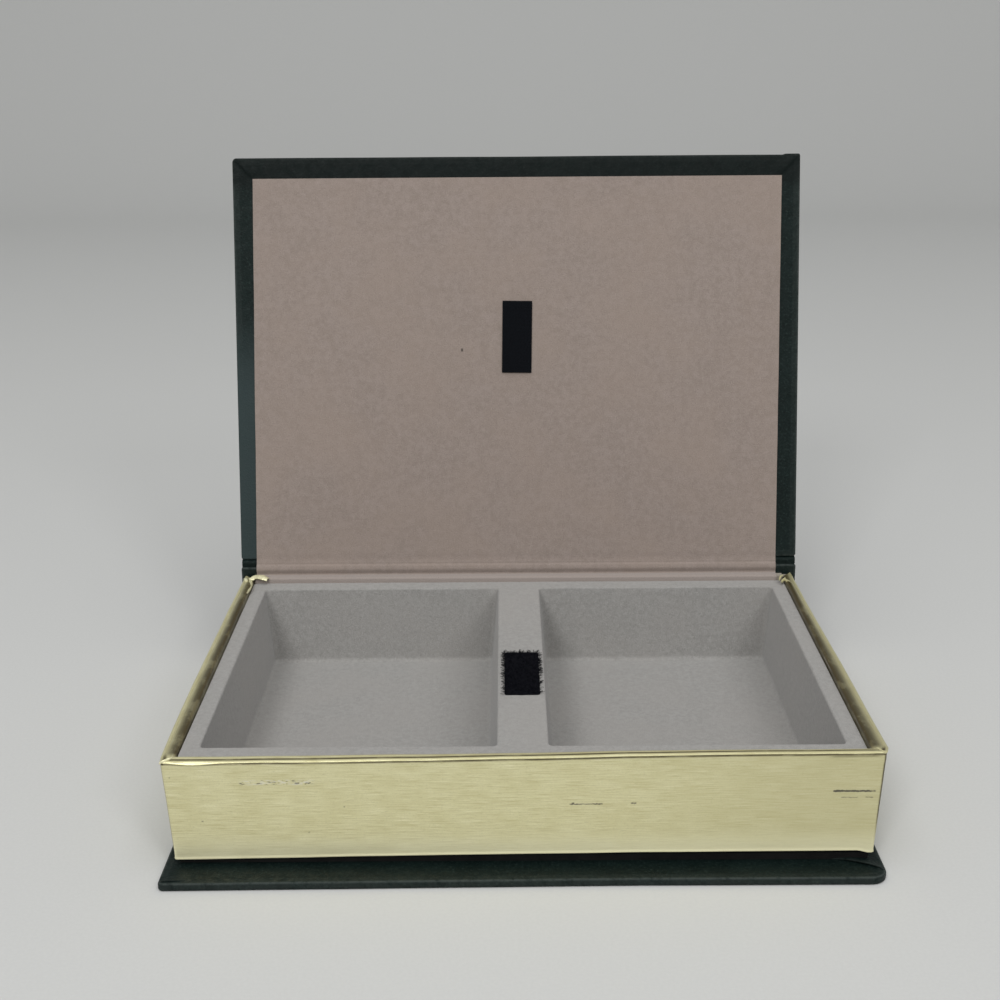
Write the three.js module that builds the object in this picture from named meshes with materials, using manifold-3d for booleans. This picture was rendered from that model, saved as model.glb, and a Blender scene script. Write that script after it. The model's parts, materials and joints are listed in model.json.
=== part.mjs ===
// Book diversion safe: a box made like a leather-bound book, with a lid on a cloth-like joint and a flocked
// tray of two compartments inside. Millimetres, with +X along the spine, +Y from the front edge to the spine
// and +Z up. The origin is the middle of the underside. The lid stands open, leaning back past the vertical.

import * as THREE from 'three';
import { mergeVertices } from 'three/addons/utils/BufferGeometryUtils.js';
import Module from 'manifold-3d';

const wasm = await Module();
wasm.setup();

// Driving dimensions of the covers
const coverWidth = 242;
const boardThick = 1.7;
const leatherThick = 0.35;
const glueGap = 0.25;
const turnInWidth = 15;
const coverCornerRadius = 1.6;
const coverEdgeRadius = 0.6;
const jointWidth = 6.8;
const jointCreaseDepth = 1.1;

// Driving dimensions of the block, the part that stands for the book's pages
const frontOverhang = 9.8;
const sideOverhang = 2.25;
const blockDepth = 170;
const blockTaper = 1.4;
const wallBoardThick = 2.7;
const wallBoardHeight = 37.25;
const backWallThick = 3.4;
const giltThick = 0.25;
const giltTurnDown = 5;
const giltFoldUnder = 1.1;
const floorBoardThick = 2.4;
const floorBoardInset = 1.5;

// Driving dimensions of the tray and of the ledges that carry it
const trayThick = 1.0;
const trayRecess = 2.1;
const trayDepth = 32.5;
const trayEdgeClearance = 0.3;
const sideFlangeWidth = 6.4;
const frontFlangeWidth = 7.6;
const backFlangeWidth = 8.2;
const dividerWidth = 17.5;
const pocketDraft = 2.8;
const pocketCornerRadius = 2;
const pocketFloorRadius = 2;
const pocketRimRadius = 0.8;
const flangeCornerRadius = 1.5;
const ledgeThick = 2.4;
const ledgeClearance = 0.3;

// Driving dimensions of the lining, the lid's hinge and the hook-and-loop fastener
const liningThick = 0.3;
const liningSideMargin = 8.5;
const liningFreeEdgeMargin = 8.8;
const backLiningDrop = 4;
const lidRestClearance = 0.3;
const lidLean = 12.2;
const tapeWidth = 12.7;
const tapeThick = 0.4;
const tapeGap = 0.15;
const fastenerFromHinge = 102.8;
const hookStripLength = 30.7;
const hookHeight = 0.6;
const hookRowWidth = 0.6;
const hookRowPitch = 1.5;
const loopPadLength = 37.5;
const loopPileHeight = 0.7;
const loopPadEdgeRadius = 0.4;

// Heights, from the underside up
const coverThick = boardThick + 2 * (leatherThick + glueGap);
const wallFootZ = coverThick + floorBoardThick;
const giltLayer = giltThick + glueGap;
const rimZ = wallFootZ + wallBoardHeight + giltLayer;
const trayRimZ = rimZ - trayRecess;
const flangeUnderZ = trayRimZ - trayThick;
const trayFloorZ = trayRimZ - trayDepth;
const hingeZ = rimZ + lidRestClearance;
const liningLayer = liningThick + glueGap;
const spineTopZ = hingeZ + liningLayer + coverThick;

// Depths, from the front edge of the covers back to the spine
const closedDepth = frontOverhang + blockDepth + coverThick;
const frontY = -closedDepth / 2;
const blockFrontY = frontY + frontOverhang;
const blockBackY = blockFrontY + blockDepth;
const hingeY = blockBackY - liningLayer;
const lidReach = hingeY - frontY;

// A wall is its board between two layers of gilt paper
const wallThick = wallBoardThick + 2 * giltLayer;
const halfCover = coverWidth / 2;
const halfBlock = halfCover - sideOverhang;
const spare = 1;

// Closed meshes become solids for joining and cutting, and go back to geometry at the end
function toSolid(geometry) {
  const plain = geometry.index ? geometry.toNonIndexed() : geometry.clone();
  for (const name of Object.keys(plain.attributes)) {
    if (name !== 'position') plain.deleteAttribute(name);
  }
  const merged = mergeVertices(plain, 1e-4);
  const vertProperties = new Float32Array(merged.attributes.position.array);
  const triVerts = new Uint32Array(merged.index.array);
  return new wasm.Manifold(new wasm.Mesh({ numProp: 3, vertProperties, triVerts }));
}

function toGeometry(solid) {
  const mesh = solid.getMesh();
  const geometry = new THREE.BufferGeometry();
  geometry.setAttribute('position', new THREE.BufferAttribute(new Float32Array(mesh.vertProperties), 3));
  geometry.setIndex(new THREE.BufferAttribute(new Uint32Array(mesh.triVerts), 1));
  geometry.computeVertexNormals();
  return geometry;
}

function joined(solids) {
  return solids.reduce((sum, solid) => sum.add(solid));
}

function box(low, high) {
  const size = high.map((value, axis) => value - low[axis]);
  const geometry = new THREE.BoxGeometry(...size);
  geometry.translate(...low.map((value, axis) => value + size[axis] / 2));
  return toSolid(geometry);
}

// An outline drawn in X and Z, run back along Y
function runBack(shape, y0, y1) {
  const geometry = new THREE.ExtrudeGeometry(shape, { depth: y1 - y0, bevelEnabled: false, curveSegments: 8 });
  geometry.rotateX(Math.PI / 2);
  geometry.translate(0, y1, 0);
  return toSolid(geometry);
}

// An outline drawn in Y and Z, run across along X
function runAcross(shape, x0, x1) {
  const geometry = new THREE.ExtrudeGeometry(shape, { depth: x1 - x0, bevelEnabled: false, curveSegments: 8 });
  geometry.rotateX(Math.PI / 2);
  geometry.rotateZ(Math.PI / 2);
  geometry.translate(x0, 0, 0);
  return toSolid(geometry);
}

function roundedRectangle(x0, x1, y0, y1, radius) {
  const shape = new THREE.Shape();
  shape.moveTo(x0 + radius, y0);
  shape.lineTo(x1 - radius, y0);
  shape.absarc(x1 - radius, y0 + radius, radius, -Math.PI / 2, 0);
  shape.lineTo(x1, y1 - radius);
  shape.absarc(x1 - radius, y1 - radius, radius, 0, Math.PI / 2);
  shape.lineTo(x0 + radius, y1);
  shape.absarc(x0 + radius, y1 - radius, radius, Math.PI / 2, Math.PI);
  shape.lineTo(x0, y0 + radius);
  shape.absarc(x0 + radius, y0 + radius, radius, Math.PI, 1.5 * Math.PI);
  return shape;
}

// A flat plate with rounded corners, its edges rounded by edgeRadius
function plate(x0, x1, y0, y1, z0, z1, cornerRadius, edgeRadius) {
  const geometry = new THREE.ExtrudeGeometry(roundedRectangle(x0, x1, y0, y1, cornerRadius), {
    depth: z1 - z0 - 2 * edgeRadius,
    bevelEnabled: edgeRadius > 0,
    bevelThickness: edgeRadius,
    bevelSize: edgeRadius,
    bevelOffset: -edgeRadius,
    bevelSegments: 2,
    curveSegments: 3,
  });
  geometry.translate(0, 0, z0 + edgeRadius);
  return toSolid(geometry);
}

// A thin sheet that follows a path of points in Y and Z, with its thickness on the path's right
function sheetAlong(path, thick) {
  const points = path.map(([y, z]) => new THREE.Vector2(y, z));
  const rightOf = (from, to) => to.clone().sub(from).rotateAround(new THREE.Vector2(), -Math.PI / 2).normalize();
  const offset = points.map((point, i) => {
    const before = i > 0 ? rightOf(points[i - 1], point) : rightOf(point, points[i + 1]);
    const after = i + 1 < points.length ? rightOf(point, points[i + 1]) : before;
    const corner = before.clone().add(after).normalize();
    return point.clone().addScaledVector(corner, thick / corner.dot(before));
  });
  return new THREE.Shape([...points, ...offset.reverse()]);
}

// Covers and spine are drawn lying on their outer face, with the joint towards the low end of Y.
// A board lies inside leatherette that turns in over its ends and its free edge.
const boardInset = leatherThick + glueGap;

function coverBoard(jointEnd, freeEnd) {
  const half = halfCover - boardInset;
  return plate(-half, half, jointEnd + boardInset, freeEnd - boardInset,
    boardInset, boardInset + boardThick, coverCornerRadius - boardInset, 0);
}

function coverLeatherette(jointEnd, freeEnd, freeTurnIn) {
  const skin = leatherThick;
  const outside = plate(-halfCover, halfCover, jointEnd, freeEnd, 0, coverThick, coverCornerRadius, coverEdgeRadius);
  const inside = plate(-halfCover + skin, halfCover - skin, jointEnd + skin, freeEnd - skin,
    skin, coverThick - skin, coverCornerRadius - skin, 0);
  const windowX = halfCover - turnInWidth;
  const window = box([-windowX, jointEnd + skin, skin], [windowX, freeEnd - freeTurnIn, coverThick + spare]);
  return outside.subtract(inside).subtract(window);
}

// The lower cover lies with its outer face down and its joint at the back
const lowerJointEnd = blockBackY - jointWidth;

function asLowerCover(solid) {
  return solid.mirror([0, 1, 0]).translate([0, lowerJointEnd, 0]);
}

function lowerCoverBoard() {
  return asLowerCover(coverBoard(0, lowerJointEnd - frontY));
}

function lowerCoverLeatherette() {
  return asLowerCover(coverLeatherette(0, lowerJointEnd - frontY, turnInWidth));
}

// The spine stands on its lower joint, with its outer face to the back
function asSpine(solid) {
  return solid.rotate([90, 0, 0]).translate([0, blockBackY + coverThick, 0]);
}

function spineBoard() {
  return asSpine(coverBoard(0, spineTopZ));
}

function spineLeatherette() {
  const lowerJoint = box([-halfCover, lowerJointEnd, coverThick - leatherThick],
    [halfCover, blockBackY + leatherThick, coverThick]);
  return asSpine(coverLeatherette(0, spineTopZ, leatherThick)).add(lowerJoint);
}

// The block's side walls lean out, from their foot at the cover up to the rim
function splayed(solid) {
  const geometry = toGeometry(solid);
  const position = geometry.attributes.position;
  for (let i = 0; i < position.count; i += 1) {
    const drop = (rimZ - position.getZ(i)) / (rimZ - wallFootZ);
    position.setX(i, position.getX(i) * (1 - drop * blockTaper / halfBlock));
  }
  return geometry;
}

// A wall's section, from its foot to a half-round top, between two distances from a middle plane
function wallSection(low, high, footZ, topZ) {
  const radius = (high - low) / 2;
  const shape = new THREE.Shape();
  shape.moveTo(low, footZ);
  shape.lineTo(high, footZ);
  shape.lineTo(high, topZ - radius);
  shape.absarc(low + radius, topZ - radius, radius, 0, Math.PI);
  return shape;
}

// The front and side walls take one section at three sizes, inset from the paper's outside: the outside
// of the gilt paper, its inside, and the board. Side boards start behind the front board, and the paper's
// rolled rims cross at the middle of the front wall.
const wallLayers = {
  outside: { inset: 0, footZ: wallFootZ - giltThick, sideStart: wallThick / 2 },
  inside: { inset: giltThick, footZ: wallFootZ, sideStart: wallThick / 2 },
  board: { inset: giltLayer, footZ: wallFootZ, sideStart: wallThick - giltThick },
};

function frontWall(layer) {
  const section = wallSection(blockFrontY + layer.inset, blockFrontY + wallThick - layer.inset,
    layer.footZ, rimZ - layer.inset);
  return runAcross(section, -halfBlock + layer.inset, halfBlock - layer.inset);
}

function sideWall(side, layer) {
  const near = side * (halfBlock - layer.inset);
  const far = side * (halfBlock - wallThick + layer.inset);
  const section = wallSection(Math.min(near, far), Math.max(near, far), layer.footZ, rimZ - layer.inset);
  return runBack(section, blockFrontY + layer.sideStart, blockBackY);
}

// Gilt paper covers the front and both sides, folds under their feet and turns down inside the rim
function giltPaper() {
  const layerSolid = (layer) => joined([frontWall(layer), sideWall(-1, layer), sideWall(1, layer)]);
  const wallMiddle = wallThick / 2;
  const belowTurnDown = box(
    [-halfBlock + wallMiddle, blockFrontY + wallMiddle, 0],
    [halfBlock - wallMiddle, blockBackY + spare, rimZ - giltTurnDown],
  );
  const behindFold = box(
    [-halfBlock + giltFoldUnder, blockFrontY + giltFoldUnder, 0],
    [halfBlock - giltFoldUnder, blockBackY + spare, wallFootZ],
  );
  const outside = layerSolid(wallLayers.outside);
  const inside = layerSolid(wallLayers.inside);
  return outside.subtract(inside).subtract(belowTurnDown).subtract(behindFold);
}

function backWall() {
  const half = halfBlock - wallThick - glueGap;
  return box([-half, blockBackY - backWallThick, wallFootZ], [half, blockBackY, rimZ - liningThick]);
}

function floorBoard() {
  const half = halfBlock - floorBoardInset;
  return box([-half, blockFrontY + floorBoardInset, coverThick], [half, blockBackY, wallFootZ]);
}

// Ledges of board stand inside the walls and carry the tray's flange
const ledgeOuterX = halfBlock - wallThick - ledgeClearance;
const ledgeFrontY = blockFrontY + wallThick + ledgeClearance;
const ledgeBackY = blockBackY - backWallThick - liningThick - ledgeClearance;

function crossLedge(y0) {
  return box([-ledgeOuterX, y0, wallFootZ], [ledgeOuterX, y0 + ledgeThick, flangeUnderZ]);
}

function sideLedge(side) {
  const outer = side * ledgeOuterX;
  const inner = side * (ledgeOuterX - ledgeThick);
  const endGap = ledgeThick + ledgeClearance;
  return box([Math.min(outer, inner), ledgeFrontY + endGap, wallFootZ],
    [Math.max(outer, inner), ledgeBackY - endGap, flangeUnderZ]);
}

// Compartments: the edges at the rim, mirrored on both sides of the divider
const pocketOuterX = halfBlock - wallThick - sideFlangeWidth;
const pocketInnerX = dividerWidth / 2;
const pocketFrontY = blockFrontY + wallThick + frontFlangeWidth;
const pocketBackY = blockBackY - backWallThick - backFlangeWidth;

// A level ring of points round one compartment, with as many points at every inset
const cornerSteps = 8;

function pocketRing(inset, z, radius) {
  const centreX = [pocketInnerX + inset + radius, pocketOuterX - inset - radius];
  const centreY = [pocketFrontY + inset + radius, pocketBackY - inset - radius];
  const corners = [[1, 0], [1, 1], [0, 1], [0, 0]];
  return corners.flatMap(([right, back], corner) => (
    Array.from({ length: cornerSteps + 1 }, (_, step) => {
      const angle = (corner - 1 + step / cornerSteps) * Math.PI / 2;
      return [centreX[right] + radius * Math.cos(angle), centreY[back] + radius * Math.sin(angle), z];
    })
  ));
}

// A closed body through level rings of one compartment, each with its inset from the rim and its height
function loft(levels, cornerRadius) {
  const rings = levels.map(([inset, z]) => pocketRing(inset, z, cornerRadius));
  const count = rings[0].length;
  const indices = [];
  for (let ring = 0; ring + 1 < rings.length; ring += 1) {
    for (let i = 0; i < count; i += 1) {
      const a = ring * count + i;
      const b = ring * count + (i + 1) % count;
      indices.push(a, b, b + count, a, b + count, a + count);
    }
  }
  const top = (rings.length - 1) * count;
  for (let i = 1; i + 1 < count; i += 1) {
    indices.push(0, i + 1, i, top, top + i, top + i + 1);
  }
  const geometry = new THREE.BufferGeometry();
  geometry.setAttribute('position', new THREE.Float32BufferAttribute(rings.flat(2), 3));
  geometry.setIndex(indices);
  return toSolid(geometry);
}

const quarterTurn = [0, 0.25, 0.5, 0.75, 1].map((share) => share * Math.PI / 2);

// The floor's rounded edge; grow is 0 inside the compartment and the sheet's thickness on its underside
function floorLevels(grow) {
  const radius = pocketFloorRadius + grow;
  return quarterTurn.map((angle) => [
    pocketDraft + pocketFloorRadius - radius * Math.sin(angle),
    trayFloorZ + pocketFloorRadius - radius * Math.cos(angle),
  ]);
}

function pocketInside() {
  const rimLevels = quarterTurn.map((angle) => [
    pocketRimRadius * Math.cos(angle),
    trayRimZ - pocketRimRadius * (1 - Math.sin(angle)),
  ]);
  return loft([...floorLevels(0), ...rimLevels, [0, trayRimZ + spare]], pocketCornerRadius);
}

function pocketUnderside() {
  const neck = [pocketRimRadius - trayThick, trayRimZ - pocketRimRadius];
  return loft([...floorLevels(trayThick), neck], pocketCornerRadius + trayThick);
}

function tray() {
  const halfX = halfBlock - wallThick - trayEdgeClearance;
  const flange = plate(-halfX, halfX, ledgeFrontY, ledgeBackY, flangeUnderZ, trayRimZ, flangeCornerRadius, 0);
  const bothSides = (solid) => solid.add(solid.mirror([1, 0, 0]));
  return flange.add(bothSides(pocketUnderside())).subtract(bothSides(pocketInside()));
}

// Lining: a panel on the lid, a strip through the joint, and a strip over the back wall's top
const liningHalf = halfCover - liningSideMargin;

function backWallLining() {
  const frontFace = blockBackY - backWallThick - liningThick;
  const path = [[hingeY + liningThick, rimZ], [frontFace, rimZ], [frontFace, rimZ - backLiningDrop]];
  return runAcross(sheetAlong(path.reverse(), liningThick), -liningHalf, liningHalf);
}

function lidLining() {
  const panel = box([-liningHalf, jointWidth, -liningThick], [liningHalf, lidReach - liningFreeEdgeMargin, 0]);
  const padX = halfCover - turnInWidth - glueGap;
  const pad = box([-padX, jointWidth + boardInset, -liningLayer - leatherThick],
    [padX, lidReach - turnInWidth - glueGap, -liningThick]);
  return panel.add(pad);
}

// A place on the lid, by its distance from the hinge and its depth behind the lining's face, as Y and Z
const openAngle = THREE.MathUtils.degToRad(90 - lidLean);

function onOpenLid(fromHinge, behind) {
  return [
    hingeY + fromHinge * Math.cos(openAngle) + behind * Math.sin(openAngle),
    hingeZ + fromHinge * Math.sin(openAngle) - behind * Math.cos(openAngle),
  ];
}

// The lining runs up the spine's inner face and on to the lid
function jointLining() {
  const path = [[hingeY, hingeZ], [hingeY, spineTopZ], onOpenLid(jointWidth - glueGap, 0)];
  return runAcross(sheetAlong(path, liningThick), -liningHalf, liningHalf);
}

// The leatherette runs from the spine's outer face to the lid's, with a crease between them
function jointLeatherette() {
  const spineOuterY = blockBackY + coverThick;
  const lidOuter = onOpenLid(jointWidth - glueGap, liningLayer + coverThick);
  const creaseZ = (spineTopZ + lidOuter[1]) / 2;
  const path = [[spineOuterY, spineTopZ + 2 * glueGap], [spineOuterY - jointCreaseDepth, creaseZ], lidOuter];
  return runAcross(sheetAlong(path.reverse(), leatherThick), -halfCover, halfCover);
}

// Hook strip on the lid, in rows of hooks across it, and the loop pad that it meets on the divider
function hookStrip() {
  const halfX = tapeWidth / 2;
  const start = fastenerFromHinge - hookStripLength / 2;
  const tapeTop = tapeGap + tapeThick;
  const solids = [box([-halfX, start, tapeGap], [halfX, start + hookStripLength, tapeTop])];
  const rows = Math.floor(hookStripLength / hookRowPitch);
  const margin = (hookStripLength - (rows - 1) * hookRowPitch - hookRowWidth) / 2;
  for (let row = 0; row < rows; row += 1) {
    const y0 = start + margin + row * hookRowPitch;
    solids.push(box([-halfX, y0, tapeGap], [halfX, y0 + hookRowWidth, tapeTop + hookHeight]));
  }
  return joined(solids);
}

function loopPad() {
  const halfX = tapeWidth / 2;
  const middle = hingeY - fastenerFromHinge;
  return plate(-halfX, halfX, middle - loopPadLength / 2, middle + loopPadLength / 2,
    trayRimZ, trayRimZ + tapeThick + loopPileHeight, 2 * loopPadEdgeRadius, loopPadEdgeRadius);
}

// Materials
function finish(color, roughness, metalness = 0) {
  return () => new THREE.MeshStandardMaterial({ color, roughness, metalness });
}

const greyboard = finish(0x8d8676, 0.9);
const darkBoard = finish(0x2a2926, 0.9);
const leatherette = finish(0x1f2c27, 0.5);
const gilt = finish(0xc4bd8c, 0.38, 0.7);
const flock = finish(0xa5a29d, 0.95);
const liningPaper = finish(0xa39790, 0.9);
const hookTape = finish(0x141618, 0.8);

function part(name, shape, material) {
  const geometry = shape.isBufferGeometry ? shape : toGeometry(shape);
  const mesh = new THREE.Mesh(geometry, material());
  mesh.name = name;
  return mesh;
}

// The box: covers, spine, block, tray and its loop pad
const bookBox = new THREE.Group();
bookBox.add(
  part('lower_cover_board', lowerCoverBoard(), greyboard),
  part('lower_cover_leatherette', lowerCoverLeatherette(), leatherette),
  part('spine_board', spineBoard(), greyboard),
  part('spine_leatherette', spineLeatherette(), leatherette),
  part('block_floor_board', splayed(floorBoard()), darkBoard),
  part('front_wall', splayed(frontWall(wallLayers.board)), greyboard),
  part('left_wall', splayed(sideWall(-1, wallLayers.board)), greyboard),
  part('right_wall', splayed(sideWall(1, wallLayers.board)), greyboard),
  part('back_wall', splayed(backWall()), greyboard),
  part('gilt_edge_paper', splayed(giltPaper()), gilt),
  part('front_ledge', splayed(crossLedge(ledgeFrontY)), greyboard),
  part('back_ledge', splayed(crossLedge(ledgeBackY - ledgeThick)), greyboard),
  part('left_ledge', splayed(sideLedge(-1)), greyboard),
  part('right_ledge', splayed(sideLedge(1)), greyboard),
  part('compartment_tray', tray(), flock),
  part('loop_pad', loopPad(), hookTape),
  part('back_wall_lining', backWallLining(), liningPaper),
  part('joint_lining', jointLining(), liningPaper),
  part('joint_leatherette', jointLeatherette(), leatherette),
);

// The lid is drawn lying flat open behind the hinge, with its lining's face up, and turned up to its lean
const lid = new THREE.Group();
lid.position.set(0, hingeY, hingeZ);
lid.rotation.x = openAngle;

const lidPlate = new THREE.Group();
lidPlate.position.z = -liningLayer - coverThick;
lidPlate.add(
  part('lid_board', coverBoard(jointWidth, lidReach), greyboard),
  part('lid_leatherette', coverLeatherette(jointWidth, lidReach, turnInWidth), leatherette),
);
lid.add(
  lidPlate,
  part('lid_lining', lidLining(), liningPaper),
  part('hook_strip', hookStrip(), hookTape),
);

const bookSafe = new THREE.Group();
bookSafe.add(bookBox, lid);

export default bookSafe;
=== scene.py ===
import json
import math

import bmesh
import bpy
import numpy as np
from mathutils import Matrix, Vector, noise


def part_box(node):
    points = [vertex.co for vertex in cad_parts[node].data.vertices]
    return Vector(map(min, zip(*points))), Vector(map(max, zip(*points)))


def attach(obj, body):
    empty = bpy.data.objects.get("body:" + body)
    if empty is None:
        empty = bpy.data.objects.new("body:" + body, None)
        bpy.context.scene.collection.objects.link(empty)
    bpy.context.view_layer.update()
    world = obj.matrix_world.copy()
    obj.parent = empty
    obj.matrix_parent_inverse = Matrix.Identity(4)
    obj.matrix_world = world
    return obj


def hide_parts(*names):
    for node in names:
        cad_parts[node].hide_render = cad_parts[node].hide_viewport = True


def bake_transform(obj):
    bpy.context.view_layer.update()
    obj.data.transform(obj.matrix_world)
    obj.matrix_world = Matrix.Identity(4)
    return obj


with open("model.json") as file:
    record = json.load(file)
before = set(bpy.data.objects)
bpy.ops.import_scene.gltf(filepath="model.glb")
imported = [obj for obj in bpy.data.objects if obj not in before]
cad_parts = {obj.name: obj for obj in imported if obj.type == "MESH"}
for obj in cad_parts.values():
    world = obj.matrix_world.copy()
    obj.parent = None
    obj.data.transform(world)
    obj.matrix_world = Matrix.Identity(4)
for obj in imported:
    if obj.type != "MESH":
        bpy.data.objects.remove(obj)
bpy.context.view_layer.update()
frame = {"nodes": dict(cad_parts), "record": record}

# Sizes are in millimetres, and meshes are scaled to metres where they are made
MM = 0.001


def corners(node):
    """A node's lowest and highest corners in the frame."""
    low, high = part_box(node)
    return np.array(low) / MM, np.array(high) / MM


# Sizes that the frame gives
HINGE = frame["record"]["behaviour"]["joints"][0]
HINGE_Y, HINGE_Z = HINGE["pos_m"][1] / MM, HINGE["pos_m"][2] / MM
OPEN_ANGLE = math.radians(180 - HINGE["range_deg"][1])
COVER_LOW, COVER_HIGH = corners("lower_cover_leatherette")
SPINE_LOW, SPINE_HIGH = corners("spine_leatherette")
GILT_LOW, GILT_HIGH = corners("gilt_edge_paper")
TRAY_LOW, TRAY_HIGH = corners("compartment_tray")
PAD_LOW, PAD_HIGH = corners("loop_pad")
BACK_LINING_LOW = corners("back_wall_lining")[0]
COVER_THICK = COVER_HIGH[2]
HALF_COVER = COVER_HIGH[0]
SPINE_OUT = SPINE_HIGH[1]
BLOCK_HALF = GILT_HIGH[0]
BLOCK_FRONT, BLOCK_BACK = GILT_LOW[1], GILT_HIGH[1]
BLOCK_FOOT, RIM_Z = GILT_LOW[2], GILT_HIGH[2]

# Sizes of the covering sheets
LEATHER_THICK = 0.35
TURN_IN = 15.0
COVER_EDGE_RADIUS = 0.85

# Sizes of the tray that its box doesn't give
TRAY_THICK = 1.0
SIDE_FLANGE, FRONT_FLANGE, BACK_FLANGE = 6.1, 7.3, 7.6
DIVIDER_WIDTH = 17.5
POCKET_DRAFT = 2.8
POCKET_CORNER_RADIUS = 2.0
POCKET_FLOOR_RADIUS = 2.0
POCKET_RIM_RADIUS = 0.8
FLANGE_CORNER_RADIUS = 1.5

# Places on the lid: across, away from the hinge, and out of the lining's face
ALONG = np.array([0, math.cos(OPEN_ANGLE), math.sin(OPEN_ANGLE)])
FACING = np.array([0, -math.sin(OPEN_ANGLE), math.cos(OPEN_ANGLE)])
ACROSS = np.array([1.0, 0, 0])
HINGE_POINT = np.array([0, HINGE_Y, HINGE_Z])


def from_lid(points):
    """Lid places (across, from the hinge, off the face) as points of the frame."""
    points = np.asarray(points, float)
    return HINGE_POINT + points[..., :1] * ACROSS + points[..., 1:2] * ALONG + points[..., 2:] * FACING


def to_lid(points):
    """Points of the frame as lid places."""
    offset = np.asarray(points, float) - HINGE_POINT
    return np.stack([offset @ ACROSS, offset @ ALONG, offset @ FACING], -1)


def lid_corners(node):
    """A lid node's lowest and highest lid places."""
    points = np.array([vertex.co for vertex in frame["nodes"][node].data.vertices]) / MM
    places = to_lid(points)
    return places.min(0), places.max(0)


LID_LOW, LID_HIGH = lid_corners("lid_leatherette")
HOOK_LOW, HOOK_HIGH = lid_corners("hook_strip")
LINING_END = lid_corners("lid_lining")[1][1]


# Camera, at the photograph's viewing angle
CAMERA_PLACE = (-0.00507, -0.5219, 0.27098)
CAMERA_YAW, CAMERA_PITCH, CAMERA_ROLL = -0.254, -17.631, -0.445
CAMERA_LENS, CAMERA_SENSOR = 53.61, 36.0


def add_object(name, data):
    """A new object in the scene."""
    thing = bpy.data.objects.new(name, data)
    bpy.context.scene.collection.objects.link(thing)
    return thing


def make_camera():
    data = bpy.data.cameras.new("camera")
    data.lens, data.sensor_width = CAMERA_LENS, CAMERA_SENSOR
    camera = add_object("camera", data)
    yaw, pitch, roll = (math.radians(angle) for angle in (CAMERA_YAW, CAMERA_PITCH, CAMERA_ROLL))
    forward = Vector((math.sin(yaw) * math.cos(pitch), math.cos(yaw) * math.cos(pitch), math.sin(pitch)))
    level_right = Vector((math.cos(yaw), -math.sin(yaw), 0))
    level_up = level_right.cross(forward)
    right = math.cos(roll) * level_right + math.sin(roll) * level_up
    up = right.cross(forward)
    turn = Matrix((right, up, -forward)).transposed()
    camera.matrix_world = Matrix.Translation(CAMERA_PLACE) @ turn.to_4x4()
    bpy.context.scene.camera = camera


make_camera()


# Helpers for shapes
def wave(points, size, seed=0.0):
    """Smooth noise from -1 to 1 at each point, with features of a given size."""
    shifted = np.asarray(points, float) / size + (seed, 0.37 * seed, 0.71 * seed)
    flat = shifted.reshape(-1, 3)
    values = np.fromiter((noise.noise(Vector(point)) for point in flat), float, len(flat))
    return values.reshape(shifted.shape[:-1])


def flat_wave(points, size, seed=0.0):
    """The same noise at every height."""
    return wave(points * (1, 1, 0), size, seed)


def wave_vector(points, size, seed=0.0):
    """Three noises at once, for moving points about."""
    return np.stack([wave(points, size, seed + 17.0 * axis) for axis in range(3)], -1)


def smoothstep(low, high, value):
    share = np.clip((value - low) / (high - low), 0, 1)
    return share * share * (3 - 2 * share)


def bell(value, middle, width):
    return np.exp(-((value - middle) / width) ** 2)


def level_at(places, table):
    """A worn height or shift at places along an edge, from a table."""
    along, values = zip(*table)
    return np.interp(places, along, values)


def smooth_path(points, steps=6):
    """A smooth curve through the points."""
    points = np.array(points, float)
    padded = np.vstack([2 * points[0] - points[1], points, 2 * points[-1] - points[-2]])
    shares = np.arange(steps)[:, None] / steps
    curve = []
    for before, start, end, after in zip(padded, padded[1:], padded[2:], padded[3:]):
        curve.append(0.5 * (2 * start + (end - before) * shares
                            + (2 * before - 5 * start + 4 * end - after) * shares ** 2
                            + (3 * start - before - 3 * end + after) * shares ** 3))
    return np.vstack(curve + [points[-1:]])


def path_normals(path):
    """The unit normals on the left of a path of points in two dimensions."""
    tangent = np.gradient(path, axis=0)
    normal = np.stack([-tangent[:, 1], tangent[:, 0]], -1)
    return normal / np.linalg.norm(normal, axis=1, keepdims=True)


def path_length(path):
    return np.concatenate([[0], np.cumsum(np.linalg.norm(np.diff(path, axis=0), axis=1))])


def ring_counts(low, high, spacing):
    """Points along each side of an outline, in the order right, back, left, front."""
    wide = max(2, round((high[0] - low[0]) / spacing))
    deep = max(2, round((high[1] - low[1]) / spacing))
    return deep, wide, deep, wide


CORNER_STEPS = 8


def ring(low, high, radii, inset, counts, corner_steps=CORNER_STEPS):
    """A rounded rectangle drawn inside another by inset, from its front right corner round the back."""
    low, high = np.asarray(low, float) + inset, np.asarray(high, float) - inset
    corner_places = ((high[0], low[1], -1, 1), (high[0], high[1], -1, -1),
                     (low[0], high[1], 1, -1), (low[0], low[1], 1, 1))
    arcs = []
    for corner, (x, y, right, up) in enumerate(corner_places):
        radius = max(radii[corner] - inset, 0.03)
        angles = (corner - 1 + np.linspace(0, 1, corner_steps + 1)) * math.pi / 2
        centre = np.array([x + right * radius, y + up * radius])
        arcs.append(centre + radius * np.stack([np.cos(angles), np.sin(angles)], -1))
    outline = []
    for corner, arc in enumerate(arcs):
        outline.append(arc)
        after = arcs[(corner + 1) % 4][0]
        shares = (np.arange(counts[corner]) + 1)[:, None] / (counts[corner] + 1)
        outline.append(arc[-1] + (after - arc[-1]) * shares)
    return np.vstack(outline)


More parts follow.
